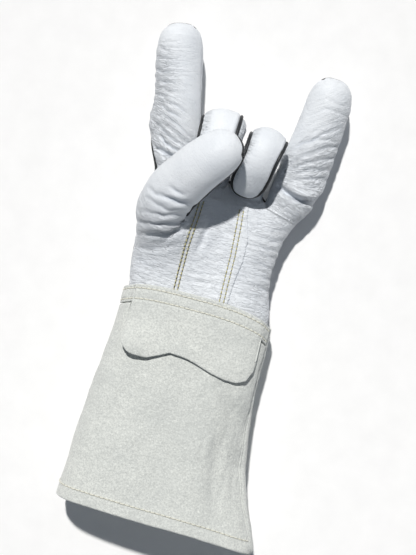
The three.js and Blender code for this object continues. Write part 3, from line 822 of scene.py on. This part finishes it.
def chains(edges):
    """Joins undirected edges into ordered lines of vertices."""
    links = {}
    for a, b in edges.tolist():
        links.setdefault(a, []).append(b)
        links.setdefault(b, []).append(a)
    lines = []
    while links:
        start = next((v for v, near in links.items() if len(near) == 1), next(iter(links)))
        line = [start]
        while links.get(line[-1]):
            here = line[-1]
            there = links[here].pop()
            links[there].remove(here)
            line.append(there)
            if not links[here]:
                del links[here]
        if not links.get(line[-1], True):
            del links[line[-1]]
        lines.append(line)
    return [line for line in lines if len(line) > 2]


def tube(points, radius, sides=8):
    """Points and quads of a round cord, with its ends closed by small caps."""
    points = np.asarray(points, float)
    slope = unit(np.gradient(points, axis=0))
    normal = unit(np.cross(slope[0], [0.3, 0.5, 0.8]))
    radii = np.broadcast_to(radius, len(points))
    a = np.linspace(0, 2 * np.pi, sides, endpoint=False)[:, None]
    rings = []
    for p, t, r in zip(points, slope, radii):
        normal = unit(normal - t * np.dot(normal, t))
        rings.append(p + r * (np.cos(a) * normal + np.sin(a) * np.cross(t, normal)))
    caps = [points[k] + (rings[k] - points[k]) * 0.35 for k in (0, -1)]
    rings = [caps[0] - slope[0] * radii[0] * 0.3, *rings, caps[1] + slope[-1] * radii[-1] * 0.3]
    last = (len(rings) - 1) * sides
    quads = []
    for start in range(0, last, sides):
        for k in range(sides):
            n = (k + 1) % sides
            quads.append([start + k, start + n, start + sides + n, start + sides + k])
    for start, turn in ((0, -1), (last, 1)):
        for k in range(1, sides - 2, 2):
            quads.append([start + v for v in (0, k, k + 1, k + 2)][::turn])
    return np.concatenate(rings), quads


def joined(pieces):
    """Several (points, quads) as one."""
    points, quads, start = [], [], 0
    for p, q in pieces:
        points.append(p)
        quads += [[i + start for i in face] for face in q]
        start += len(p)
    return np.concatenate(points), quads


# ---------------------------------------------------------------- materials
def shade(colour, share=1.0):
    """A colour made darker or lighter, as red, green, blue and alpha."""
    return (*(np.array(colour) * share).tolist(), 1.0)


class Look:
    """A Principled material and short ways to add its nodes."""

    def __init__(self, name, **sockets):
        self.material = bpy.data.materials.new(name)
        self.material.use_nodes = True
        self.tree = self.material.node_tree
        self.shader = self.tree.nodes["Principled BSDF"]
        for socket, value in sockets.items():
            self.shader.inputs[socket.replace("_", " ")].default_value = value
        self.place = self.tree.nodes.new("ShaderNodeTexCoord").outputs["Object"]

    def node(self, kind, inputs=(), **settings):
        node = self.tree.nodes.new("ShaderNode" + kind)
        for key, value in settings.items():
            setattr(node, key, value)
        for key, value in dict(inputs).items():
            if isinstance(value, bpy.types.NodeSocket):
                self.tree.links.new(value, node.inputs[key])
            else:
                node.inputs[key].default_value = value
        return node

    def noise(self, scale, detail=3.0, rough=0.5, distortion=0.0, place=None):
        inputs = {"Vector": place or self.place, "Scale": scale, "Detail": detail}
        inputs |= {"Roughness": rough, "Distortion": distortion}
        return self.node("TexNoise", inputs).outputs["Fac"]

    def cells(self, scale, feature="F1"):
        inputs = {"Vector": self.place, "Scale": scale}
        return self.node("TexVoronoi", inputs, feature=feature).outputs["Distance"]

    def attribute(self, name, output="Fac"):
        return self.node("Attribute", attribute_name=name).outputs[output]

    def ramp(self, value, low, high, to_low=0.0, to_high=1.0):
        inputs = {"Value": value, "From Min": low, "From Max": high, "To Min": to_low, "To Max": to_high}
        return self.node("MapRange", inputs).outputs["Result"]

    def maths(self, operation, *values):
        return self.node("Math", enumerate(values), operation=operation).outputs[0]

    def mix(self, factor, a, b):
        return self.node("Mix", {0: factor, 6: a, 7: b}, data_type="RGBA").outputs[2]

    def tint(self, under, mask, low, high, most, over):
        """The colour under, covered by the colour over by up to a share, where the mask is high."""
        return self.mix(self.ramp(mask, low, high, 0.0, most), under, over)

    def crease(self, value, width):
        """1 where a noise crosses its middle value, falling to 0 beside that line."""
        away = self.maths("ABSOLUTE", self.maths("SUBTRACT", value, 0.5))
        return self.ramp(away, 0.0, width, 1.0, 0.0)

    def use(self, socket, output):
        self.tree.links.new(output, self.shader.inputs[socket])

    def bump(self, height, distance, strength=1.0, under=None):
        inputs = {"Height": height, "Distance": distance, "Strength": strength}
        if under is not None:
            inputs["Normal"] = under
        return self.node("Bump", inputs).outputs["Normal"]


def hide_leather(name, light, dark):
    """Smooth grain leather: fine pebbling, fine creases that run across each digit and a soft gloss, with
    painted shade in its folds and creases.
    """
    look = Look(name, Sheen_Weight=0.1, Sheen_Roughness=0.45, Specular_IOR_Level=0.4)
    straight = look.attribute("straight", "Vector")

    def creased(scales, width):
        place = look.node("Mapping", {"Vector": straight, "Scale": scales}).outputs["Vector"]
        return look.crease(look.noise(1.0, 2, 0.5, 0.5, place), width)

    fine = creased((0.75, 0.15, 0.15), 0.05)
    crease = look.maths("MULTIPLY_ADD", fine, 0.6, creased((0.36, 0.06, 0.06), 0.04))
    crease = look.maths("MULTIPLY", crease, look.attribute("wrinkle"))
    colour = look.tint(shade(light), look.noise(34, 4, 0.6), 0.35, 0.68, 1.0, shade(dark))
    colour = look.tint(colour, look.noise(700, 2, 0.6), 0.6, 0.75, 0.3, shade(dark, 0.84))
    # Painted shade: bluish and darker down in the pressed folds, a little darker where wrinkled, and darker
    # along the fine creases.
    colour = look.tint(colour, look.attribute("depth"), 0.35, 2.2, 0.65, shade(dark, (0.70, 0.75, 0.82)))
    colour = look.tint(colour, look.attribute("wrinkle"), 0.1, 0.6, 0.5, shade(dark, 0.93))
    look.use("Base Color", look.tint(colour, crease, 0.0, 1.3, 0.13, shade(dark, 0.66)))
    look.use("Roughness", look.ramp(look.noise(260, 3, 0.6), 0.3, 0.7, 0.44, 0.6))
    broad = look.bump(look.noise(150, 3, 0.5, 0.8), 0.0009, 0.35)
    middle = look.bump(look.ramp(crease, 0.0, 1.5, 1.0, 0.0), 0.0013, 0.8, broad)
    grain = look.bump(look.noise(620, 3, 0.6, 0.8), 0.0004, 0.45, middle)
    pebbles = look.ramp(look.cells(1150, "SMOOTH_F1"), 0.0, 0.75, 1.0, 0.0)
    look.use("Normal", look.bump(pebbles, 0.0002, 0.5, grain))
    return look.material


def split_leather(name, light, dark):
    """Suede: a matt nap of short fibres, brushed into lighter and darker patches, with painted shade in its
    folds.
    """
    look = Look(name, Sheen_Weight=0.3, Sheen_Roughness=0.6, Specular_IOR_Level=0.1, Roughness=0.95)
    colour = look.tint(shade(light), look.noise(24, 5, 0.62, 0.6), 0.36, 0.66, 1.0, shade(dark))
    colour = look.tint(colour, look.noise(820, 4, 0.75), 0.38, 0.6, 0.9, shade(dark, 0.80))
    colour = look.tint(colour, look.noise(760, 2, 0.5), 0.56, 0.72, 0.6, shade(light, 1.12))
    # Painted shade: darker down in the pressed folds.
    look.use("Base Color", look.tint(colour, look.attribute("depth"), 0.2, 2.2, 0.5, shade(dark, 0.7)))
    coarse = look.bump(look.noise(230, 4, 0.62), 0.0014, 0.6)
    look.use("Normal", look.bump(look.noise(1300, 3, 0.7), 0.0005, 0.9, coarse))
    return look.material


def piping_leather(name, colour):
    """Thin dark leather with pale scuffs."""
    look = Look(name, Specular_IOR_Level=0.45, Sheen_Weight=0.1)
    scuffed = look.tint(shade(colour), look.noise(300, 4, 0.7), 0.55, 0.72, 0.6, shade(colour, 2.6))
    look.use("Base Color", scuffed)
    look.use("Roughness", look.ramp(look.noise(500, 2, 0.5), 0.3, 0.7, 0.42, 0.66))
    look.use("Normal", look.bump(look.cells(1300), 0.0002, 0.5))
    return look.material


def thread(name, colour):
    """Twisted sewing thread."""
    look = Look(name, Roughness=0.72, Sheen_Weight=0.3, Specular_IOR_Level=0.3)
    twist = look.node("TexWave", {"Vector": look.place, "Scale": 620.0, "Distortion": 1.5}).outputs["Fac"]
    look.use("Base Color", look.tint(shade(colour), twist, 0.0, 1.0, 0.5, shade(colour, 0.6)))
    look.use("Normal", look.bump(twist, 0.00015, 0.6))
    return look.material


HIDE_LOOK = hide_leather("hide", (0.80, 0.83, 0.865), (0.73, 0.765, 0.81))
SUEDE_LOOK = split_leather("suede", (0.79, 0.81, 0.77), (0.68, 0.705, 0.68))
PIPING_LOOK = piping_leather("piping", (0.012, 0.014, 0.017))
YELLOW_LOOK = thread("yellow_thread", (0.58, 0.53, 0.26))
CREAM_LOOK = thread("cream_thread", (0.84, 0.83, 0.72))
# Dark plugs that paint the shade inside the needle holes, on the hide and on the suede.
HOLE_SHADE_LOOK = piping_leather("needle_hole_shade", (0.05, 0.045, 0.03))
PALE_HOLE_SHADE_LOOK = piping_leather("suede_needle_hole_shade", (0.42, 0.41, 0.36))

# ---------------------------------------------------------------- the bodies of the pieces
# Each part lists the two bodies that it spans and two points, or the one body that it rides on.
MOVES = {
    "cuff": ("cuff",),
    "hand": ("cuff", "hand", (0, 8, 24), (0, 26, 24)),
    "index_lower": ("hand", "index_base", (-37.9, 88, 20), (-41.2, 100, 20.8)),
    "index_upper": ("index_base", "index_tip", (-46.4, 124.5, 22.8), (-49.9, 143.5, 24.2)),
    "middle_lower": ("hand", "middle", (-12.4, 89, 18), (-12.4, 101, 25)),
    "middle_upper": ("middle",),
    "ring_lower": ("hand", "ring", (13.8, 86.5, 18), (15, 98, 25)),
    "ring_upper": ("ring",),
    "little_lower": ("hand", "little_base", (41, 77.5, 19), (42.9, 87.5, 19.7)),
    "little_upper": ("little_base", "little_tip", (46.2, 107, 21.6), (49.2, 125, 23.6)),
    "thumb": ("hand", "thumb", (-41, 49, 45), (-40, 55, 64)),
}


def finish_piece(piece, part, nodes=()):
    """Attaches a piece to its body when it rides on one, bakes its place into its mesh otherwise, and hides
    the CAD nodes that it stands for.
    """
    move = MOVES[part]
    if len(move) == 1:
        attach(piece, move[0])
    else:
        a, b, start, end = move
        [v * MM for v in start]
        [v * MM for v in end]
        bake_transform(piece)
    if nodes:
        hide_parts(*nodes)


# ---------------------------------------------------------------- the hand's pieces
GUSSETS = {
    "index": {RIGHT: ""},
    "middle": {RIGHT: "_ring_side", LEFT: "_index_side"},
    "ring": {RIGHT: "_little_side", LEFT: "_middle_side"},
    "little": {LEFT: ""},
}


def finger_pieces(finger, half):
    """The part, panel, name and CAD nodes of the leathers of one half of a finger."""
    kinds = [(FRONT, "front", "")]
    kinds += [(panel, "gusset", side) for panel, side in GUSSETS[finger].items()]
    kinds += [(BACK, "back", "")]
    for panel, kind, side in kinds:
        if finger not in CURLED:
            name, nodes = f"{finger}_{kind}_leather_{half}", [f"{finger}_{kind}_{half}"]
        elif half == "upper":
            name, nodes = f"{finger}_{kind}_leather{side}", [f"{finger}_{kind}{side}"]
        else:
            name, nodes = f"{finger}_{kind}{side or '_leather'}_lower", []
        yield f"{finger}_{half}", panel, name, nodes


def hand_pieces():
    yield "hand", FRONT, "palm_leather", ["palm_panel", "palm_heel"]
    yield "hand", BACK, "back_leather", ["back_panel", "back_heel"]
    yield "hand", RIGHT, "crotch_gussets", []
    for finger in FINGERS:
        for half in ("lower", "upper"):
            yield from finger_pieces(finger, half)
    yield "thumb", FRONT, "thumb_front_leather", ["thumb_front"]
    yield "thumb", BACK, "thumb_back_leather", ["thumb_back"]


WELTS = {
    "hand": ["hand_welt_little_side", "hand_welt_thumb_side"],
    "index_lower": ["index_welt_a_lower", "index_welt_b_lower"],
    "index_upper": ["index_welt_upper"],
    "middle_upper": ["middle_welt"],
    "ring_upper": ["ring_welt"],
    "little_lower": ["little_welt_a_lower", "little_welt_b_lower"],
    "little_upper": ["little_welt_upper"],
    "thumb": ["thumb_welt"],
}


def make_hand_pieces(surface):
    """The leather of the hand, cut along its seams and joints into closed pieces."""
    normals = surface.normals()
    for part, panel, name, nodes in hand_pieces():
        chosen = surface.faces[(surface.part == PARTS.index(part)) & (surface.panel == panel)]
        piece = shell(name, surface.points, normals, chosen, HIDE, HIDE_LOOK, **surface.marks)
        finish_piece(piece, part, nodes)


def make_piping(surface, lines, normals):
    """A cord of black leather in each seam round the back leathers."""
    piped = surface.seams(True)
    parts = surface.part[surface.pairs[:, 0]]
    rng = np.random.default_rng(5)
    for part in PARTS:
        edges = surface.shared[piped & (parts == PARTS.index(part))]
        tubes = []
        for line in chains(edges):
            p = lines[line] + normals[line] * 0.05
            uneven = np.convolve(rng.normal(size=len(p) + 8), np.ones(9) / 9, "valid")
            tubes.append(tube(relaxed(p, 6), WELT * (1 + 0.12 * uneven)))
        piece = make_mesh(part + "_piping", *joined(tubes), PIPING_LOOK)
        finish_piece(piece, part, WELTS.get(part, []))


# ---------------------------------------------------------------- the cuff
# The cuff's middle and half width in X and its height, at several places from the hem to the wrist.
CUFF_Y = [-153, -138, -125, -100, -75, -50, -32, -15, 12]
CUFF = {
    "centre": [7, 4.2, 1.7, -1.0, -1.7, -1.3, -0.6, 0, 0],
    "half": [71.5, 68, 64.7, 60.5, 57.8, 55.5, 54.6, 53.9, 53.9],
    "high": [64, 63, 62, 60, 57.5, 55, 53.4, 51.8, 49],
}
CUFF_SEAMS = {"little": 78, "thumb": -102}  # angles round the cuff, in degrees
FLAP_LIFT = 2.6  # outer face of the flap over the outer face of the cuff
HINGE_Y = -13.2
FLAP_BEND = (-12.0, -18.0)  # two places (Y) down the flap's middle
FLAP_RISE = 2  # its middle over the plain cuff, there
FLAP_EDGE = [  # the free edge's points (x, y), from the flap's left end to its right
    [-44, -22], [-42, -31], [-38.5, -36.5], [-34.5, -40], [-30, -41.3], [-23, -41.2], [-17, -38],
    [-10, -34.2], [0, -35], [8, -37.5], [19, -41.4], [28, -43.5], [35, -43.7], [41, -41], [45, -34],
    [46.5, -25],
]
BAND_LIFT = 0.15  # outer face of the band over that of the cuff, away from the palm side
BAND_HEIGHT = 12.6  # from the wrist seam down to the band's lower edge
UPPER_ROW, LOWER_ROW = 3, 10.5  # from the wrist seam down to the two rows of stitches
FLAP_ENDS = (76.5, -100.0)  # angles of the strip's ends
FLAP_ARC = 194  # length of the strip from end to end, in mm
SEAM_DEPTH, SEAM_REACH = 1.3, 2.2  # how the side seams pull the leather in
SEAM_GAP = 1.2  # degrees between a side seam and the leather beside it
CORD_POINTS, CORD_RADIUS, CORD_DEPTH = 90, 1.2, 1.5
HEM_DEPTH, HEM_THICKNESS = 13, 1.3


def cuff_smooth(angle, y, grow=0.0):
    """Points of the plain gauntlet at angles in degrees: 0 is the palm side, 90 the little side."""
    a = np.radians(angle)
    power = 2 / SQUARENESS
    centre, half, high = (np.interp(y, CUFF_Y, values) for values in CUFF.values())
    x = centre + (half + grow) * np.sign(np.sin(a)) * np.abs(np.sin(a)) ** power
    rise = np.abs(np.cos(a)) ** power
    up = np.where(np.cos(a) < 0, -np.minimum(1, rise * 1.07), rise)
    return np.stack([x, y + 0 * x, high / 2 + (high / 2 + grow) * up], -1)


def hem_y(angle):
    a = np.radians(angle)
    return -153 - 4 * np.sin(a) + 3 * np.maximum(0, np.cos(a)) ** 2


def cuff_top_y(angle):
    """The wrist seam: high in the middle of the palm and the back, low at the little side."""
    a = np.radians(angle)
    front, back = np.maximum(0, np.cos(a)), np.maximum(0, -np.cos(a))
    return -0.3 - 2.4 * np.sin(a) + 8.3 * front**1.5 + 8.8 * back**2


# Soft folds of the cuff: depth, half width and the points (x, y) that each runs through.
CUFF_FOLDS = [
    (2.4, 9, [(38, -70), (39.7, -102), (46, -140)]),
    (2.8, 5.5, [(28, -50), (40, -62), (54, -78)]),
    (1.4, 8, [(-30, -46), (-38, -80), (-52, -120)]),
    (1.2, 10, [(2, -50), (0, -90), (8, -135)]),
]


def cuff_relief(points, up):
    """Waves and folds of the cuff, in mm, fading at its ends."""
    soft = Noise(21)
    loose = smooth_step(-points[:, 1], 2, 60)
    height = loose * (1.1 * soft(points / [34, 60, 34]) + 0.7 * soft(points / 21 + 7))
    height += 0.22 * soft.layered(points / 6 + 3)
    lined = creases(soft, points / [14, 40, 30] + 5, 0.16)
    height -= loose * 0.35 * lined
    height -= up * 6 * smooth_step(points[:, 0], 28, 60) * bump(points[:, 1], -100, 40)
    for depth, width, line in CUFF_FOLDS:
        height -= up * depth * stroke(points, line, width)
        height += up * 0.4 * depth * (stroke(points, line, 2.2 * width) - stroke(points, line, width))
    return height


def cuff_point(angle, y, grow):
    """Points that stand out by grow from the cuff's leather with its waves and folds."""
    p = cuff_smooth(angle, y)
    out = unit(cuff_smooth(angle, y, 1.0) - p)
    flat = p.reshape(-1, 3)
    up = smooth_step(out.reshape(-1, 3)[:, 2], 0.1, 0.6)
    height = cuff_relief(flat, up).reshape(p.shape[:-1])
    p = p + out * (height + grow)[..., None]
    p[..., 2] = np.maximum(p[..., 2], FLOOR_GAP)
    return p


EDGE_ROUND = 1.2  # how far from its edge a sheet begins to round down, in mm


def grid_faces(rows, columns):
    i, j = np.meshgrid(np.arange(rows - 1), np.arange(columns - 1), indexing="ij")
    a = (i * columns + j).ravel()
    return np.stack([a, a + columns, a + columns + 1, a + 1], 1)


def crowded(count):
    """Places from 0 to 1 with a few extra close to both ends, where an edge rounds off."""
    ends = np.array([0, 0.3, 0.6]) / count
    return np.concatenate([ends, np.linspace(1 / count, 1 - 1 / count, count - 1), 1 - ends[::-1]])


def leather_sheet(name, surface, rows, columns, thickness, look, roll=None, wrinkle=0.0):
    """A sheet of leather from surface(a, b), whose outer face rounds down by roll at its edges."""
    a, b = np.meshgrid(crowded(rows), crowded(columns), indexing="ij")
    points = surface(a, b)
    faces = grid_faces(*a.shape)
    flat = points.reshape(-1, 3)
    normals = vertex_normals(flat, faces)
    roll = thickness * 0.45 if roll is None else roll
    along = np.linalg.norm(np.diff(points, axis=0), axis=2)
    across = np.linalg.norm(np.diff(points, axis=1), axis=2)
    up = np.cumsum(np.pad(along, ((1, 0), (0, 0))), 0)
    over = np.cumsum(np.pad(across, ((0, 0), (1, 0))), 1)
    from_edge = np.minimum(np.minimum(up, up[-1:] - up), np.minimum(over, over[:, -1:] - over)).ravel()
    t = np.clip(1 - from_edge / EDGE_ROUND, 0, 1)
    flat = flat - normals * (roll * (1 - np.sqrt(1 - t * t)))[:, None]
    marks = {"depth": np.zeros(len(flat)), "wrinkle": np.full(len(flat), wrinkle)}
    marks["straight"] = flat[:, [1, 0, 2]]
    return shell(name, flat, vertex_normals(flat, faces), faces, thickness, look, **marks)


def palm_share(angle):
    """1 on the palm side of the cuff, 0 from its edges round."""
    return (1 - smooth_step(angle, 47, 66)) * (1 - smooth_step(-angle, 46, 55))


def band_lift(angle):
    return between(palm_share(angle), BAND_LIFT, FLAP_LIFT)


def seam_press(share, length):
    """How far a sheet is pressed in at its two sides, where it is sewn into the cuff's seams."""
    return SEAM_DEPTH * np.exp(-((np.minimum(share, 1 - share) * length / SEAM_REACH) ** 2))


def make_cuff():
    """The two halves of the gauntlet, a cord in each side seam and the strip turned in at the hem."""
    little, thumb = CUFF_SEAMS["little"], CUFF_SEAMS["thumb"]
    for name, node, start, stop, columns in (
        ("cuff_front_leather", "cuff_front", little - SEAM_GAP, thumb + SEAM_GAP, 150),
        ("cuff_back_leather", "cuff_back", thumb + 360 - SEAM_GAP, little + SEAM_GAP, 130),
    ):
        def surface(a, b):
            angle = between(b, start, stop)
            y = between(a, hem_y(angle), cuff_top_y(angle))
            pressed = seam_press(b, abs(stop - start) * 1.1)
            if node == "cuff_front":
                under = smooth_step(y + BAND_HEIGHT - cuff_top_y(angle), -1.5, 0.1)
                pressed = pressed + 2.1 * (1 - palm_share(angle)) * under
            return cuff_point(angle, y, -pressed)

        piece = leather_sheet(name, surface, 110, columns, SUEDE, SUEDE_LOOK)
        finish_piece(piece, "cuff", [node])
    for side, degrees in CUFF_SEAMS.items():
        y = np.linspace(hem_y(degrees) + 0.8, cuff_top_y(degrees) - 0.5, CORD_POINTS)
        points, quads = tube(cuff_point(np.full(CORD_POINTS, float(degrees)), y, -CORD_DEPTH), CORD_RADIUS)
        marks = {"depth": np.zeros(len(points))}
        piece = make_mesh(f"cuff_seam_cord_{side}_side", points, quads, SUEDE_LOOK, **marks)
        finish_piece(piece, "cuff", [f"cuff_welt_{side}_side"])

    def facing(a, b):
        angle = between(b, little + 358, little + 2)
        y = between(a, hem_y(angle) + 0.5, hem_y(angle) + HEM_DEPTH)
        return cuff_point(angle, y, -SUEDE - 0.45)

    piece = leather_sheet("hem_turned_in", facing, 10, 250, HEM_THICKNESS, SUEDE_LOOK)
    finish_piece(piece, "cuff", ["hem_facing"])


def flap_low_y(angle):
    """The free edge: the flap hangs between its two ends, and the band beside it is short."""
    x = cuff_smooth(angle, np.full_like(angle, -30.0))[..., 0]
    ends = np.array(FLAP_EDGE)
    inside = (x > ends[0, 0]) & (x < ends[-1, 0])
    return np.where(inside, np.interp(x, ends[:, 0], ends[:, 1]), cuff_top_y(angle) - BAND_HEIGHT)


def flap_surface(a, b):
    angle = between(b, *FLAP_ENDS)
    top = cuff_top_y(angle)
    y = between(a, flap_low_y(angle), top - 0.4)
    free = smooth_step(HINGE_Y - y, 2, 24)
    x = cuff_smooth(angle, y)[..., 0]
    lift = free * (0.5 + 6.0 * bump(x, -36, 11) + 1.5 * bump(x, 40, 10) + 0.8 * bump(x, -8, 12))
    lift = lift - 0.5 * (bump(y, top - UPPER_ROW, 1.1) + bump(y, top - LOWER_ROW, 1.1))
    return cuff_point(angle, y, band_lift(angle) + lift - seam_press(b, FLAP_ARC))


def make_flap():
    """One strip of suede, sewn over the cuff's edge by its upper part and hanging free below."""
    piece = leather_sheet("wrist_flap", flap_surface, 56, 190, SUEDE, SUEDE_LOOK)
    start, end = cuff_smooth(np.zeros(2), np.array(FLAP_BEND), FLAP_RISE) * MM
    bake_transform(piece)
    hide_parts("flap_band", "flap")


# ---------------------------------------------------------------- stitches
STITCH_RISE = np.array([-0.5, 0.55, 0.95, 0.95, 0.55, -0.5])  # a stitch's arch, as shares of its height
THREAD_SIDES = 6
CREAM_STITCH = (3.6, 2.7, 0.48)  # pitch, length and thread radius
YELLOW_STITCH = (2.9, 1.75, 0.42, 0.25)  # and the height of a stitch


def stitch_row(points, normals, pitch, length, radius, proud=0.3):
    """Separate stitches along a line on the leather, and dark plugs at their ends that paint the shade in the
    needle holes.
    """
    steps = distances(points)
    stitches, holes = [], []
    for k in range(int(steps[-1] / pitch)):
        start = k * pitch + (pitch - length) / 2
        s = np.linspace(start, start + length, len(STITCH_RISE))
        p = read_at(s, steps, points)
        n = unit(read_at(s, steps, normals))
        stitches.append(tube(p + n * (STITCH_RISE * proud)[:, None], radius, THREAD_SIDES))
        # Painted shade: a short dark plug at each needle hole.
        for end in (0, -1):
            dot = p[end] + n[end] * 0.02
            hole = [dot - n[end] * 0.3, dot, dot + n[end] * 0.08]
            holes.append(tube(hole, radius * 1.15, THREAD_SIDES))
    return stitches, holes


def make_stitches(name, row, look, hole_shade_look, part, node):
    """A row of stitches as one piece, and the painted shade of its needle holes as another."""
    piece = make_mesh(name, *joined(row[0]), look)
    finish_piece(piece, part, [node])
    piece = make_mesh(name + "_needle_hole_shade", *joined(row[1]), hole_shade_look)
    finish_piece(piece, part)


def make_cuff_stitches():
    """The two cream rows on the band and the one along the hem."""
    def sewn(angle):
        return band_lift(angle) - 0.5

    for name, node, y_of, start, stop, lift in (
        ("wrist_stitches_upper", "wrist_thread_upper", lambda a: cuff_top_y(a) - UPPER_ROW, 74, -97, sewn),
        ("wrist_stitches_lower", "wrist_thread_lower", lambda a: cuff_top_y(a) - LOWER_ROW, 74, -97, sewn),
        ("hem_stitches", "hem_thread", lambda a: hem_y(a) + 9, 72, -96, np.zeros_like),
    ):
        angle = np.linspace(start, stop, 160)
        p, beside = (cuff_point(angle, y_of(angle) + aside, lift(angle)) for aside in (0.0, 0.5))
        n = unit(np.cross(np.gradient(p, axis=0), beside - p))
        row = stitch_row(p, n * np.sign(n[len(n) // 2, 2]), *CREAM_STITCH)
        make_stitches(name, row, CREAM_LOOK, PALE_HOLE_SHADE_LOOK, "cuff", node)


# ---------------------------------------------------------------- the palm's second layer
PATCH_LEFT = [(-20.5, 2), (-20.8, 20), (-20.6, 40), (-18.6, 60), (-17.4, 76)]
PATCH_RIGHT = [(18.6, 2), (20.2, 24), (22.6, 38), (22.3, 54), (18.5, 68), (17.5, 76)]
PALM_ROWS = {
    "palm_stitches_1": ([(-19.1, 4), (-19.2, 20), (-18.8, 40), (-17.0, 60), (-16.2, 74)], "palm_thread_1"),
    "palm_stitches_2": ([(-16.5, 4), (-16.6, 20), (-16.2, 40), (-14.4, 60), (-13.6, 74)], "palm_thread_2"),
    "palm_stitches_3": ([(13.4, 4), (13.2, 20), (13.3, 40), (12.4, 60), (11.6, 74)], "palm_thread_3"),
    "palm_stitches_4": ([(16.4, 4), (16.3, 20), (16.4, 40), (15.5, 60), (14.4, 74)], "palm_thread_4"),
}


class Palm:
    """The upper face of the palm, found from straight above."""

    def __init__(self, surface):
        chosen = (surface.part == PARTS.index("hand")) & (surface.panel == FRONT)
        self.tree = BVHTree.FromPolygons(surface.points.tolist(), surface.faces[chosen].tolist())

    def points(self, x, y):
        z = []
        for place in zip(np.ravel(x), np.ravel(y)):
            hit = self.tree.ray_cast(Vector((*place, 120)), Vector((0, 0, -1)))[0]
            z.append(hit.z if hit else z[-1])
        return np.stack([x, y, np.reshape(z, np.shape(x))], -1)


def line_x(line, y):
    """Where a line that runs up the palm is at the heights y."""
    x_of, y_of = np.transpose(line)
    return np.interp(y, y_of, x_of)


def make_patch(palm):
    """The second layer of leather in the middle of the palm, dimpled under its stitches."""
    rng = np.random.default_rng(12)
    wander = np.convolve(rng.normal(size=400), np.ones(9) / 9, "same")

    def surface(a, b):
        y = between(a, 2.0, 76.0)
        right = line_x(PATCH_RIGHT, y) + 0.55 * np.interp(y, np.linspace(0, 80, 400), wander)
        x = between(b, right, line_x(PATCH_LEFT, y))
        p = palm.points(x, y)
        p[..., 2] += 0.35 + 0.95 * smooth_step(1 - b, 0.02, 0.2)
        for line, _ in PALM_ROWS.values():
            p[..., 2] -= 0.4 * bump(x, line_x(line, y), 0.9)
        return p

    piece = leather_sheet("palm_second_layer", surface, 74, 44, 1.15, HIDE_LOOK, roll=0.45, wrinkle=0.35)
    finish_piece(piece, "hand", ["palm_patch"])


def make_palm_stitches(palm):
    """The four rows of yellow stitches on the palm's second layer."""
    for name, (line, node) in PALM_ROWS.items():
        y = np.linspace(4, 74, 90)
        p = palm.points(line_x(line, y), y)
        p[:, 2] = np.convolve(np.pad(p[:, 2], 2, "edge"), np.ones(5) / 5, "valid") + 0.95
        row = stitch_row(p, np.tile([0, 0, 1.0], (len(p), 1)), *YELLOW_STITCH)
        make_stitches(name, row, YELLOW_LOOK, HOLE_SHADE_LOOK, "hand", node)


# ---------------------------------------------------------------- the stage
FLOOR = 3.0  # half its side, in metres
SKY_COLOUR, SKY_STRENGTH = (0.74, 0.85, 1.0, 1), 0.125
SUN_POWER, SUN_FROM, SUN_COLOUR = 3.35, (-0.21, 0.55, 1.0), (1, 0.98, 0.95)
SUN_WIDTH = 2.5  # degrees
FILL_POWER, FILL_FROM, FILL_COLOUR = 1.0, (0.5, -0.5, 1.1), (0.86, 0.92, 1)
FILL_SIZE = 1.2
CAMERA_PLACE = (0.001796, 0.021730, 0.9)
CAMERA_TURN, CAMERA_LENS = 14, 80.6  # degrees and mm


def add_light(name, kind, energy, place, colour, **settings):
    """A lamp that shines at the glove."""
    data = bpy.data.lights.new(name, kind)
    data.energy = energy
    data.color = colour
    for key, value in settings.items():
        setattr(data, key, value)
    lamp = bpy.data.objects.new(name, data)
    lamp.location = place
    lamp.rotation_mode = "QUATERNION"
    lamp.rotation_quaternion = (-Vector(place)).to_track_quat("-Z", "Y")
    bpy.context.scene.collection.objects.link(lamp)


def make_stage():
    """A pale floor, a warm sun, a cool fill and a camera straight above."""
    floor_look = Look("floor", Roughness=0.9, Specular_IOR_Level=0.1)
    grain = floor_look.ramp(floor_look.noise(60, 3), 0.3, 0.7)
    floor_look.use("Base Color", floor_look.mix(grain, (0.93, 0.93, 0.93, 1), (0.9, 0.9, 0.9, 1)))
    mesh = bpy.data.meshes.new("floor")
    corners = [(-FLOOR, -FLOOR), (FLOOR, -FLOOR), (FLOOR, FLOOR), (-FLOOR, FLOOR)]
    mesh.from_pydata([(x, y, -0.0005) for x, y in corners], [], [(0, 1, 2, 3)])
    mesh.materials.append(floor_look.material)
    floor = bpy.data.objects.new("floor", mesh)
    bpy.context.scene.collection.objects.link(floor)

    world = bpy.data.worlds.new("studio")
    world.use_nodes = True
    sky = world.node_tree.nodes["Background"]
    sky.inputs["Color"].default_value = SKY_COLOUR
    sky.inputs["Strength"].default_value = SKY_STRENGTH
    bpy.context.scene.world = world
    add_light("key", "SUN", SUN_POWER, SUN_FROM, SUN_COLOUR, angle=math.radians(SUN_WIDTH))
    add_light("fill", "AREA", FILL_POWER, FILL_FROM, FILL_COLOUR, shape="DISK", size=FILL_SIZE)

    camera = bpy.data.objects.new("camera", bpy.data.cameras.new("camera"))
    camera.location = CAMERA_PLACE
    camera.rotation_euler = (0, 0, math.radians(CAMERA_TURN))
    camera.data.sensor_width = 36
    camera.data.lens = CAMERA_LENS
    camera.data.clip_start = 0.01
    bpy.context.scene.collection.objects.link(camera)
    bpy.context.scene.camera = camera
    bpy.context.scene.view_settings.view_transform = "Standard"


make_stage()
SURFACE = Surface(build_cage())
SEAM_LINES, SMOOTH_NORMALS = shape_surface(SURFACE)
make_hand_pieces(SURFACE)
make_piping(SURFACE, SEAM_LINES, SMOOTH_NORMALS)
PALM = Palm(SURFACE)
make_patch(PALM)
make_palm_stitches(PALM)
make_cuff()
make_flap()
make_cuff_stitches()
